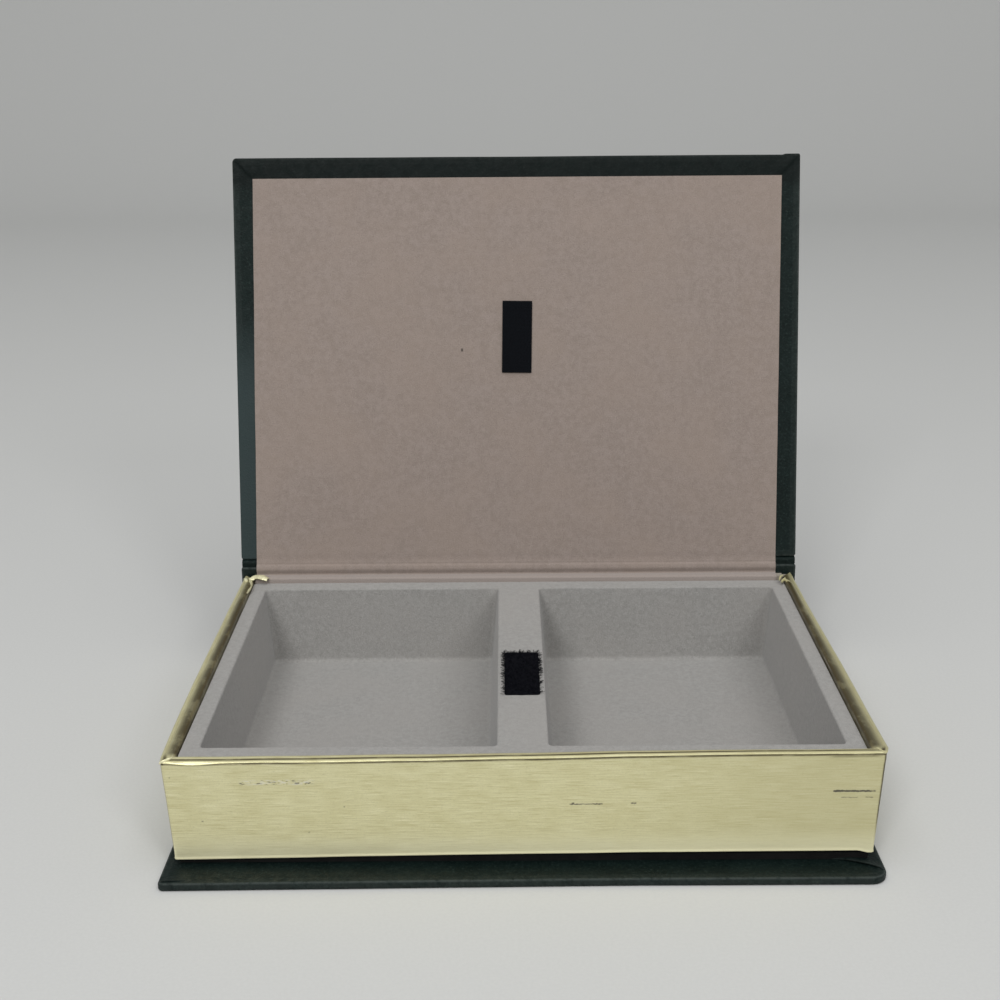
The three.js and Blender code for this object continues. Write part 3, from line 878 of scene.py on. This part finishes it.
def lining():
    path = lining_path()
    along = to_lid(np.column_stack([np.zeros(len(path)), path]))[:, 1]
    left, right = (np.interp(along, (0, LINING_END), ends) for ends in (LINING_LEFT, LINING_RIGHT))
    panel = smoothstep(7.5, 9.5, along)
    points, faces, place = strip(path, left, right, 0.15 + 0.05 * panel, 0.15 + 0.2 * panel)
    place[:, 1] += along[-1] - path_length(path)[-1]
    from_hinge = to_lid(points)[:, 1]
    from_edge = np.minimum(HALF_COVER - abs(points[:, 0]), LID_HIGH[1] - from_hinge)
    over_turn_in = smoothstep(TURN_IN - 1.5, TURN_IN + 0.5, from_edge)
    relief = 0.05 * flat_wave(place, 16.0, 2.0) - 0.07 * over_turn_in
    points = points + (smoothstep(9, 14, from_hinge) * relief)[:, None] * FACING
    points[:, 0] += 0.12 * flat_wave(place, 20.0, 6.0) * smoothstep(105, 112, abs(points[:, 0]))
    piece = make_piece("lining_sheet", points, faces, place, "lining_paper",
                       replaced=["lid_lining", "joint_lining", "back_wall_lining"])
    bend_at_hinge(piece)


# Gilt paper: one section run round the left side, the front and the right side
GILT_THICK = 0.25
WALL_THICK = 3.7
TURN_DOWN = 5.0
BLOCK_TAPER = 1.4
BLOCK_CORNER_RADIUS = 1.1

# The section's foot, from the fold under the wall: inset and height. Its lip flares out to catch the light.
FOOT_SECTION = ((1.1, 0.0), (0.5, 0.0), (0.05, -0.04), (-0.17, 0.05), (-0.19, 0.22), (-0.12, 0.48),
                (-0.03, 0.8), (0.0, 1.2))

# The section's rim: inset, depth below the top, crease (painted shade) and bead (swelling in places)
RIM_SECTION = (
    (0.0, 3.4, 0, 0), (0.0, 2.6, 0, 0), (0.0, 2.0, 0, 0), (0.0, 1.6, 0.1, 0.1),
    (0.02, 1.36, 0.8, 0.25), (0.15, 1.18, 1, 0.3), (0.15, 1.02, 1, 0.35), (-0.02, 0.88, 0.75, 0.6),
    (-0.16, 0.72, 0.1, 1), (-0.2, 0.54, 0, 1), (-0.14, 0.38, 0, 0.7), (-0.02, 0.28, 0, 0.3),
    (0.06, 0.22, 0, 0), (0.12, 0.18, 0, 0), (0.18, 0.15, 0.1, 0), (0.26, 0.12, 0.1, 0),
    (0.6, 0.06, 0.3, 0), (0.95, 0.12, 0.9, 0), (1.15, 0.2, 1, 0), (1.35, 0.2, 1, 0),
    (1.55, 0.1, 0.8, 0), (1.9, 0.03, 0.15, 0), (2.5, 0.02, 0.12, 0), (3.0, 0.12, 0.2, 0),
    (3.35, 0.4, 0.55, 0), (3.58, 0.9, 0.8, 0), (3.68, 1.6, 0.8, 0), (3.7, 2.6, 0.7, 0),
)
# Where the bead swells along the front rim: middle, half length, outward, downward
BEAD_SWELLS = ((-108.5, 7.0, 0.38, 0.6), (-58.0, 20.0, 0.08, 0.1), (32.0, 26.0, 0.07, 0.0),
               (109.0, 7.0, 0.12, 0.1))
# The worn block isn't quite square. Its rim's height and its foot's vary along the front, and its rim's splay
# along each side.
RIM_LEVEL = ((-119, -1.25), (-94, -1.2), (-64, -0.95), (-28, -0.75), (-8, -0.6), (12, -0.38), (32, 0.0),
             (60, 0.2), (119, 0.25))
FOOT_LEVEL = ((-117, -0.1), (-80, 0.35), (-41, 0.95), (0, 1.4), (38, 1.75), (80, 1.95), (113.5, 2.0),
              (116.4, 1.2))
LEFT_SPLAY = ((-82, 1.1), (-60, 1.5), (-20, 1.25), (20, 1.1), (60, 0.9), (88, 0.5))
RIGHT_SPLAY = ((-82, 0.8), (-77, 1.8), (-57, 1.5), (-18, 1.4), (20, 0.7), (60, 0.1), (88, 0.0))
ROLL_LEAN, ROLL_SAG = 1.0, 0.3


def gilt_profile():
    """The paper's outside, from the fold under the wall to its inner end: inset, height, crease and bead."""
    rows = [(inset, BLOCK_FOOT + height, 0, 0) for inset, height in FOOT_SECTION]
    rows += [(0, z, 0, 0) for z in np.arange(BLOCK_FOOT + 3.2, RIM_Z - 4, 2.5)]
    roll = [(inset, RIM_Z - depth, *weights) for inset, depth, *weights in RIM_SECTION]
    rows += smooth_path(roll, 2).tolist()
    rows += [(WALL_THICK, RIM_Z - depth, 0.6, 0) for depth in (3.4, 4.2, TURN_DOWN)]
    return np.array(rows, float)


def open_ring(low, high, radius, inset, counts):
    """The outline's left side, front and right side, from the back left to the back right."""
    outline = ring(low, high, (radius, 0.1, 0.1, radius), inset, counts)
    right_count, back_count = counts[:2]
    corner_points = CORNER_STEPS + 1
    left_start = 3 * corner_points + right_count + back_count - 1
    return np.vstack([outline[left_start:], outline[:corner_points + right_count + 1]])


def around_block(flat):
    """How far each point lies along the outline from the middle of the front."""
    past = flat[:, 1] - BLOCK_FRONT
    return np.where(past > 3.0, np.sign(flat[:, 0]) * (BLOCK_HALF + past), flat[:, 0])


def crumple(points):
    """Foil creased at the front corners and back ends, and uneven along its rims and foot."""
    x, y, z = points.T
    rim = smoothstep(RIM_Z - 6, RIM_Z - 1.5, z)
    corner = bell(abs(x), BLOCK_HALF, 5.5) * bell(y, BLOCK_FRONT, 6.0)
    back_end = smoothstep(9.0, 1.0, BLOCK_BACK - y)
    ridges = 0.5 - abs(wave_vector(points, 3.4, 11.0))
    creased = 0.3 * wave_vector(points, 2.3, 4.0) + 0.25 * ridges
    creased *= (rim * np.maximum(0.6 * corner, 0.8 * back_end))[:, None]
    rolling = wave_vector(points * (1, 1, 0.4), 17.0, 21.0) * (0.14, 0.14, 0.1) * rim[:, None]
    foot = wave_vector(points * (1, 1, 0), 24.0, 31.0) * (0.05, 0.12, 0.1) * smoothstep(12, 5, z)[:, None]
    return creased + rolling + foot


def rim_drop(points):
    """How far the rim stands above or below its true height, fading over the sides."""
    fade = smoothstep(-15, -78, points[:, 1]) * smoothstep(RIM_Z - 16, RIM_Z - 1.5, points[:, 2])
    return fade * level_at(points[:, 0], RIM_LEVEL)


def wall_inset(flat):
    """How far points of the block's walls lie inside its outline."""
    return np.minimum(BLOCK_HALF - abs(flat[:, 0]), flat[:, 1] - BLOCK_FRONT)


def worn_block(flat, bead=0.0):
    """The block's walls as they are worn: tapered to the foot, out of level, splayed at the sides, and
    leaning back at the front's right. The rim's inner side stays in place."""
    x, y, z = flat.T
    rise = np.clip((z - BLOCK_FOOT) / (RIM_Z - BLOCK_FOOT), 0, 1)
    outer = 1 - smoothstep(1.0, 3.4, wall_inset(flat))
    roll = outer * smoothstep(RIM_Z - 3.4, RIM_Z - 1.3, z)
    past = y - BLOCK_FRONT
    at_front, front_face = smoothstep(9.0, 3.6, past), smoothstep(3.9, 1.6, past)
    out = sum(outward * bell(x, middle, half) for middle, half, outward, _ in BEAD_SWELLS)
    down = sum(downward * bell(x, middle, half) for middle, half, _, downward in BEAD_SWELLS)
    lean = ROLL_LEAN * outer * rise * front_face * smoothstep(-5, 110, x) - bead * front_face * out
    sag = front_face * (ROLL_SAG * roll * smoothstep(0, -60, x) + bead * down)
    lifted = smoothstep(17, 6, z) * at_front * level_at(x, FOOT_LEVEL)
    splay = np.where(x < 0, level_at(y, LEFT_SPLAY), level_at(y, RIGHT_SPLAY))
    aside = np.sign(x) * splay * outer * rise * (abs(x) / BLOCK_HALF) ** 4
    tapered = x * (1 - (1 - rise) * BLOCK_TAPER / BLOCK_HALF)
    return np.column_stack([tapered + aside, y + lean, z + lifted - sag + rim_drop(flat)])


def painted_crease_shade(flat, crease):
    """Crease weights of painted shade: side rims dark inside, dark upright corners, and a fold under the bead
    at the right.
    """
    x, y, z = flat.T
    depth = RIM_Z - z
    past = y - BLOCK_FRONT
    side = smoothstep(2.0, 6.0, past)
    inner = (0.1 + 0.88 * smoothstep(0.7, 2.6, wall_inset(flat))) * smoothstep(3.4, 2.2, depth)
    fold = smoothstep(99, 103, x) * smoothstep(117.6, 115, x) * (1 - side)
    fold = 0.55 * fold * smoothstep(2.4, 1.7, depth) * smoothstep(0.9, 1.1, depth) * (wall_inset(flat) < 0.3)
    from_right, from_left = BLOCK_HALF - x, BLOCK_HALF + x
    right = smoothstep(0.9, 0.3, from_right) * smoothstep(3.6, 1.6, past) * smoothstep(9, 22, z)
    left = 0.7 * smoothstep(0.4, 0.1, from_left) * smoothstep(3.0, 1.0, past) * smoothstep(5, 9, z)
    upright = np.maximum(right, left) * smoothstep(0.8, 1.6, depth)
    return np.clip(np.max([crease * (1 - 0.85 * side), side * inner, fold, upright], 0), 0, 1)


# The boards stand a little inside the paper, and a side board's box is wider than the board, which tapers
BOARD_GAP = 0.3
BOARD_THICK = 3.0


def behind_paper(flat):
    points = worn_block(flat)
    outer = wall_inset(flat) < 1
    at_side = outer & (flat[:, 1] > BLOCK_FRONT + 1)
    points[at_side, 0] -= BOARD_GAP * np.sign(flat[at_side, 0])
    points[outer & ~at_side, 1] += BOARD_GAP
    points[:, 2] -= BOARD_GAP * (flat[:, 2] > RIM_Z - 1)
    return points


def worn_boards():
    """The boards behind the worn paper."""
    low, high = corners("left_wall")
    spare = high[0] - low[0] - BOARD_THICK
    trims = {"front": (0, 0), "left": (0, spare), "right": (spare, 0)}
    for side, (left_trim, right_trim) in trims.items():
        redrawn_board(side + "_wall_board", side + "_wall", [0.2] * 4, behind_paper, left_trim, right_trim)


def gilt_edge():
    low, high = GILT_LOW[:2], GILT_HIGH[:2]
    counts = ring_counts(low, high, 1.2)
    outside = gilt_profile()
    inside = outside.copy()
    inside[:, :2] -= GILT_THICK * path_normals(outside[:, :2])
    back = list(range(len(outside) - 1, 0, -3)) + [0]
    section = np.vstack([outside, inside[back]])
    lengths = path_length(outside[:, :2]) + outside[0, 1] - outside[0, 0]
    lengths = np.concatenate([lengths, lengths[back]])
    rings = []
    for inset, height in section[:, :2]:
        outline = open_ring(low, high, BLOCK_CORNER_RADIUS, inset, counts)
        outline[:, 1] = np.minimum(outline[:, 1], BLOCK_BACK - 0.1)
        rings.append(raised(outline, height))
    flat = np.vstack(rings)
    total, count = len(rings), len(rings[0])
    crease, bead = (np.repeat(section[:, column], count) for column in (2, 3))
    points = worn_block(flat, bead)
    points += crumple(points)
    place = np.column_stack([around_block(flat), np.repeat(lengths, count), np.zeros(len(flat))])
    last = (total - 1) * count
    faces = loft_faces(total, count, closed=False)
    faces += [(last + i, last + i + 1, i + 1, i) for i in range(count - 1)]
    faces.append(tuple(range(0, total * count, count)))
    faces.append(tuple(range(total * count - 1, 0, -count)))
    make_piece("gilt_edge_wrap", points, faces, place, "gilt_paper", "box", ["gilt_edge_paper"],
               crease=painted_crease_shade(flat, crease))


# Folds of the foil at the block's corners: name, ridge line, half widths along it, and height of the arch
GILT_FOLDS = (
    ("tongue_left", ((-117.0, 83.4, 43.5), (-114.6, 84.9, 44.5), (-112.0, 84.4, 44.8), (-109.9, 83.4, 44.5),
                     (-108.6, 82.6, 44.1)), (0.8, 1.7, 2.0, 1.8, 0.9), 1.0),
    ("nub_left", ((-119.2, 84.8, 43.2), (-118.3, 83.2, 43.9), (-117.3, 81.0, 43.4)), (0.4, 1.0, 0.5), 0.5),
    ("crease_left", ((-117.4, 85.4, 43.2), (-116.0, 81.2, 43.3), (-114.7, 77.0, 43.0)), (0.3, 0.8, 0.3), 0.6),
    ("edge_left", ((-114.7, 77.4, 43.1), (-114.9, 72.5, 43.4), (-115.4, 68.0, 42.9)), (0.2, 0.45, 0.2), 0.4),
    ("stroke_right", ((112.2, 79.6, 43.1), (113.3, 81.8, 43.9), (114.6, 83.6, 44.1)), (0.2, 0.55, 0.2), 0.5),
    ("tongue_right", ((112.8, 77.6, 43.0), (113.8, 79.6, 43.2), (115.2, 81.2, 43.5)), (0.3, 0.7, 0.3), 0.6),
    ("arc_right", ((114.6, 81.0, 43.3), (116.0, 78.6, 43.25), (116.9, 74.6, 43.0)), (0.4, 0.9, 0.3), 0.6),
    ("front_right", ((115.9, -77.2, 43.0), (117.2, -78.4, 43.5), (118.8, -80.8, 43.2)), (0.3, 0.6, 0.3), 0.5),
    ("front_left", ((-119.6, -82.4, 41.6), (-117.8, -80.7, 42.2), (-116.0, -79.7, 42.1)),
     (0.2, 0.5, 0.2), 0.4),
)


def gilt_fold(name, ridge, half_widths, arch):
    """A small fold of the foil, arched over its ridge line and pinched at both ends."""
    centre = smooth_path(ridge, 6)
    shares = np.linspace(0, 1, len(centre))
    half = np.interp(shares, np.linspace(0, 1, len(half_widths)), half_widths)[:, None, None]
    heading = np.gradient(centre, axis=0)
    side = np.cross(heading, (0, 0, 1.0))
    side /= np.linalg.norm(side, axis=1, keepdims=True)
    spread = np.linspace(-1, 1, 11)[None, :, None]
    top = centre[:, None] + half * spread * side[:, None] - (0, 0, arch) * spread ** 2
    top = top + wave_vector(top, 1.5, len(name)) * 0.22
    points, faces = closed_sheet(top, top - (0, 0, GILT_THICK))
    place = np.column_stack([points[:, 1] + 300, points[:, 0], points[:, 2]])
    make_piece("gilt_" + name, points, faces, place, "gilt_paper", "box")


# Tray: each compartment is lofted from its half of the flange down to its floor
def pocket_levels():
    """Inset from the rim and depth below it, from the rolled rim to the floor."""
    rim, floor = POCKET_RIM_RADIUS, POCKET_FLOOR_RADIUS
    depth = TRAY_HIGH[2] - TRAY_LOW[2] - TRAY_THICK
    levels = [(-outward, drop) for outward, drop in rounded_edge(rim, 6)]
    levels += np.linspace((0, rim), (POCKET_DRAFT, depth - floor), 20)[1:].tolist()
    levels += [(POCKET_DRAFT + inward, depth - rise) for rise, inward in rounded_edge(floor, 6)[1:]]
    levels += [(POCKET_DRAFT + floor + further, depth) for further in (1, 2.5, 5, 9, 15, 23, 33, 42)]
    return levels


def half_tray(side):
    """Points and faces of one half of the tray, from the divider's middle line outwards."""
    low = np.array([DIVIDER_WIDTH / 2, TRAY_LOW[1] + FRONT_FLANGE])
    high = TRAY_HIGH[:2] - (SIDE_FLANGE, BACK_FLANGE)
    counts = ring_counts(low, high, 1.6)
    rounded, square = FLANGE_CORNER_RADIUS, 0.02
    outer = ring((0, TRAY_LOW[1]), TRAY_HIGH[:2], (rounded, rounded, square, square), 0, counts)
    first = ring(low, high, [POCKET_CORNER_RADIUS + POCKET_RIM_RADIUS] * 4, -POCKET_RIM_RADIUS, counts)
    rings = [raised(outer, -0.9), raised(outer, -0.12)]
    rings += [raised(outer + (first - outer) * share, 0.0) for share in (0.2, 0.4, 0.6, 0.8)]
    for inset, depth in pocket_levels():
        rings.append(raised(ring(low, high, [POCKET_CORNER_RADIUS + inset] * 4, inset, counts), -depth))
    points = np.vstack(rings) + (0, 0, TRAY_HIGH[2])
    faces = loft_faces(len(rings), len(outer)) + [last_face(len(rings), len(outer))]
    if side < 0:
        points = points * (-1, 1, 1)
        faces = [face[::-1] for face in faces]
    return points, faces


def tray():
    points, faces = gather([half_tray(1), half_tray(-1)])
    faces = [face for face in faces if not on_middle_line(points, face)]
    flange = smoothstep(TRAY_HIGH[2] - 2, TRAY_HIGH[2] - 0.5, points[:, 2])
    floor = smoothstep(TRAY_LOW[2] + 6, TRAY_LOW[2] + 1.5, points[:, 2])
    shaped = points.copy()
    shaped[:, 2] += (0.1 * flange + 0.18 * floor) * flat_wave(points, 26.0, 13.0)
    shaped[:, 0] += 0.18 * wave(points, 24.0, 15.0) * (1 - flange) * smoothstep(0, 3, abs(points[:, 0]))
    shaped[:, 1] += 0.18 * wave(points, 24.0, 16.0) * (1 - flange)
    piece = make_piece("tray_flocked", shaped, faces, points, "grey_flock", "box", ["compartment_tray"])
    close_seam(piece)
    shell = piece.modifiers.new("thickness", "SOLIDIFY")
    shell.thickness = TRAY_THICK * 0.9 * MM
    shell.offset = -1


def on_middle_line(points, face):
    """True for the small outer rim faces that lie in the plane between the two halves."""
    return all(abs(points[i][0]) < 1e-6 for i in face)


def close_seam(piece):
    """Merge the points where the two halves meet."""
    work = bmesh.new()
    work.from_mesh(piece.data)
    bmesh.ops.remove_doubles(work, verts=work.verts, dist=0.01 * MM)
    work.to_mesh(piece.data)
    work.free()


# Tape: the loop pad on the divider and the hook strip on the lid
THREAD_REFERENCE = (0.31, 0.17, 0.93)


def thread(path, radius, sides):
    """A thin tube along a path of points."""
    path = np.asarray(path, float)
    tangent = np.gradient(path, axis=0)
    tangent /= np.linalg.norm(tangent, axis=1, keepdims=True)
    first = np.cross(tangent, THREAD_REFERENCE)
    first /= np.linalg.norm(first, axis=1, keepdims=True)
    second = np.cross(tangent, first)
    angles = np.arange(sides)[None, :, None] * 2 * math.pi / sides
    points = path[:, None] + radius * (first[:, None] * np.cos(angles) + second[:, None] * np.sin(angles))
    *walls, start, end = capped_faces(len(path), sides)
    return points.reshape(-1, 3), walls + [start[::-1], end[::-1]]


def rounded_slab(low, high, radius, edge):
    """A slab with rounded corners and rounded top edges, as points and faces."""
    section = [(0.4, low[2]), (0, low[2])]
    section += [(inset, high[2] - depth) for depth, inset in rounded_edge(edge, 3)]
    section += [(edge + 0.8, high[2]), (edge + 2.2, high[2])]
    points, count = stacked_rings(low[:2], high[:2], [radius] * 4, section, ring_counts(low, high, 1.2), 4)
    return points, capped_faces(len(section), count)


LOOP_COUNT, LOOP_THREAD = 900, 0.05
STRAY_COUNT, STRAY_THREAD = 130, 0.065


def loop_of_thread(random, foot, lean, heights, spreads, radius=STRAY_THREAD):
    """A loop that leaves the pad, leans over and comes back, with its height and spread in given ranges."""
    height, spread = random.uniform(*heights), random.uniform(*spreads)
    turn = random.uniform(0, 2 * math.pi)
    flat = np.array([math.cos(turn), math.sin(turn), 0])
    share = np.linspace(0, 1, 9)[:, None]
    arch = np.sin(math.pi * share)
    path = foot + flat * spread * (share - 0.5) * (1 + 0.9 * arch) + np.array([*lean, 0]) * arch
    path[:, 2:] += height * arch ** 0.8
    return thread(path, radius, 3)


def loop_pad():
    random = np.random.default_rng(7)
    uniform = random.uniform
    base_top = PAD_HIGH[2] - 0.45
    low, high = PAD_LOW[:2] + (0.2, 2.7), PAD_HIGH[:2] + (0.4, 2.7)
    parts = [rounded_slab((*low, PAD_LOW[2]), (*high, base_top), 1.1, 0.35)]
    for _ in range(LOOP_COUNT):
        foot = np.array([*uniform(low, high), base_top - 0.1])
        lean = (uniform(-0.4, 0.4), uniform(-0.4, 0.4))
        parts.append(loop_of_thread(random, foot, lean, (0.35, 0.75), (0.3, 0.8), LOOP_THREAD))
    for _ in range(STRAY_COUNT):
        side = random.choice([-1, 1])
        edge = high[0] if side > 0 else low[0]
        foot = np.array([edge - 0.3 * side, uniform(low[1], high[1]), base_top - 0.2])
        lean = (side * uniform(0.6, 1.9), uniform(-1.0, 1.0))
        parts.append(loop_of_thread(random, foot, lean, (0.1, 0.9), (0.4, 1.3)))
    for _ in range(STRAY_COUNT // 4):
        foot = np.array([uniform(low[0], high[0]), high[1] - 0.3, base_top - 0.2])
        lean = (uniform(-0.5, 0.8), uniform(0.4, 1.6))
        parts.append(loop_of_thread(random, foot, lean, (0.2, 0.9), (0.4, 1.2)))
    points, faces = gather(parts)
    make_piece("loop_pad_pile", points, faces, points, "black_loop", "box", ["loop_pad"], sharp=60)


HOOK_THREAD = 0.075
HOOK_COLUMNS = 10
HOOK_PITCH = 1.5
HOOK_STRIP_TURN = math.radians(-0.9)


def hook_shape():
    """One hook, from its foot up and over: along the strip and up."""
    stem = [(0, 0), (0, 0.22), (0.02, 0.38)]
    angles = np.linspace(math.pi, -0.35 * math.pi, 7)
    crown = [(0.17 + 0.15 * math.cos(angle), 0.4 + 0.15 * math.sin(angle)) for angle in angles]
    return stem + crown


def hook_strip():
    tape_top = HOOK_LOW[2] + 0.4
    parts = [rounded_slab(HOOK_LOW, (HOOK_HIGH[0], HOOK_HIGH[1], tape_top), 0.3, 0.1)]
    width, length = (HOOK_HIGH - HOOK_LOW)[:2]
    rows = int(length / HOOK_PITCH)
    margin = (length - (rows - 1) * HOOK_PITCH) / 2
    for row in range(rows):
        for column in range(HOOK_COLUMNS):
            x = HOOK_LOW[0] + (column + 0.5 + 0.25 * (row % 2)) * width / (HOOK_COLUMNS + 0.25)
            y = HOOK_LOW[1] + margin + row * HOOK_PITCH
            way = 1 if column % 2 else -1
            path = [(x, y + way * along, tape_top - 0.02 + up) for along, up in hook_shape()]
            parts.append(thread(path, HOOK_THREAD, 4))
    points, faces = gather(parts)
    middle = (HOOK_LOW + HOOK_HIGH)[:2] / 2
    cos, sin = math.cos(HOOK_STRIP_TURN), math.sin(HOOK_STRIP_TURN)
    turned = points.copy()
    turned[:, :2] = middle + (points[:, :2] - middle) @ np.array([[cos, sin], [-sin, cos]])
    make_piece("hook_strip_hooks", from_lid(turned), faces, points, "black_hook", "lid", ["hook_strip"],
               sharp=60)


lower_cover()
spine()
lower_joint()
lid_cover()
joint_leatherette()
lining()
for edge in LOOSE_EDGES:
    loose_edge(*edge)
worn_boards()
gilt_edge()
for fold in GILT_FOLDS:
    gilt_fold(*fold)
tray()
loop_pad()
hook_strip()


# Floor, lights and world
FLOOR_FRONT, FLOOR_BACK, SWEEP_RADIUS, SWEEP_TOP, SWEEP_HALF = -5.0, 1.7, 0.8, 3.2, 5.0
SWEEP_TONE = (0.57, 0.575, 0.565)


def studio_finish():
    """Pale paper with a very fine tooth."""
    finish = Finish("studio_paper", "Object")
    tooth = finish.noise(1.2, 3.0, 0.6)
    finish.base(tooth, SWEEP_TONE, [value * 1.03 for value in SWEEP_TONE])
    finish.set(Roughness=0.95, Specular_IOR_Level=0.1)
    return finish.done()


def make_floor():
    """A plain pale floor that curves up into a backdrop behind the object."""
    angles = np.linspace(0, math.pi / 2, 24)
    curve = [(FLOOR_FRONT, 0.0), (0.0, 0.0)]
    for angle in angles:
        curve.append((FLOOR_BACK + SWEEP_RADIUS * math.sin(angle), SWEEP_RADIUS * (1 - math.cos(angle))))
    curve.append((FLOOR_BACK + SWEEP_RADIUS, SWEEP_TOP))
    points = [(x, y, z) for y, z in curve for x in (-SWEEP_HALF, SWEEP_HALF)]
    faces = [(2 * i, 2 * i + 1, 2 * i + 3, 2 * i + 2) for i in range(len(curve) - 1)]
    mesh = bpy.data.meshes.new("floor")
    mesh.from_pydata(points, [], faces)
    mesh.shade_smooth()
    mesh.materials.append(studio_finish())
    add_object("floor", mesh)


# Soft lamps: name, direction from the object, distance and side in metres, power in watts, and whether it
# shows in reflections
LAMPS = (
    ("lamp_left", (-0.46, -1.4, 1.0), 2.2, 0.42, 12.5, True),
    ("lamp_right", (0.72, -1.4, 1.0), 2.2, 0.42, 6.8, True),
    ("lamp_above", (0.0, -0.4, 1.0), 3.2, 3.2, 66.0, False),
)
LAMP_TARGET = Vector((0, 0, 0.06))


def make_lamp(name, direction, distance, side, power, reflected):
    data = bpy.data.lights.new(name, "AREA")
    data.energy, data.size = power, side
    lamp = add_object(name, data)
    lamp.location = LAMP_TARGET + Vector(direction).normalized() * distance
    lamp.rotation_euler = (LAMP_TARGET - lamp.location).to_track_quat("-Z", "Y").to_euler()
    lamp.visible_glossy = reflected


WORLD_LIGHT = 0.3
WORLD_SEEN = 0.62


def make_world():
    """Even light from all round, and a pale surround for what the camera and the gloss see."""
    world = bpy.data.worlds.new("studio")
    bpy.context.scene.world = world
    world.use_nodes = True
    nodes, links = world.node_tree.nodes, world.node_tree.links
    nodes.clear()
    output = nodes.new("ShaderNodeOutputWorld")
    choose = nodes.new("ShaderNodeMixShader")
    rays = nodes.new("ShaderNodeLightPath")
    seen = rays.outputs["Is Camera Ray"]
    for kind in ("Is Glossy Ray", "Is Transmission Ray"):
        either = nodes.new("ShaderNodeMath")
        either.operation = "MAXIMUM"
        links.new(seen, either.inputs[0])
        links.new(rays.outputs[kind], either.inputs[1])
        seen = either.outputs[0]
    links.new(seen, choose.inputs[0])
    for socket, strength in ((1, WORLD_LIGHT), (2, WORLD_SEEN)):
        background = nodes.new("ShaderNodeBackground")
        background.inputs["Color"].default_value = (1, 1, 1, 1)
        background.inputs["Strength"].default_value = strength
        links.new(background.outputs[0], choose.inputs[socket])
    links.new(choose.outputs[0], output.inputs[0])


make_floor()
for lamp in LAMPS:
    make_lamp(*lamp)
make_world()
bpy.context.scene.view_settings.view_transform = "Standard"

bpy.context.view_layer.update()
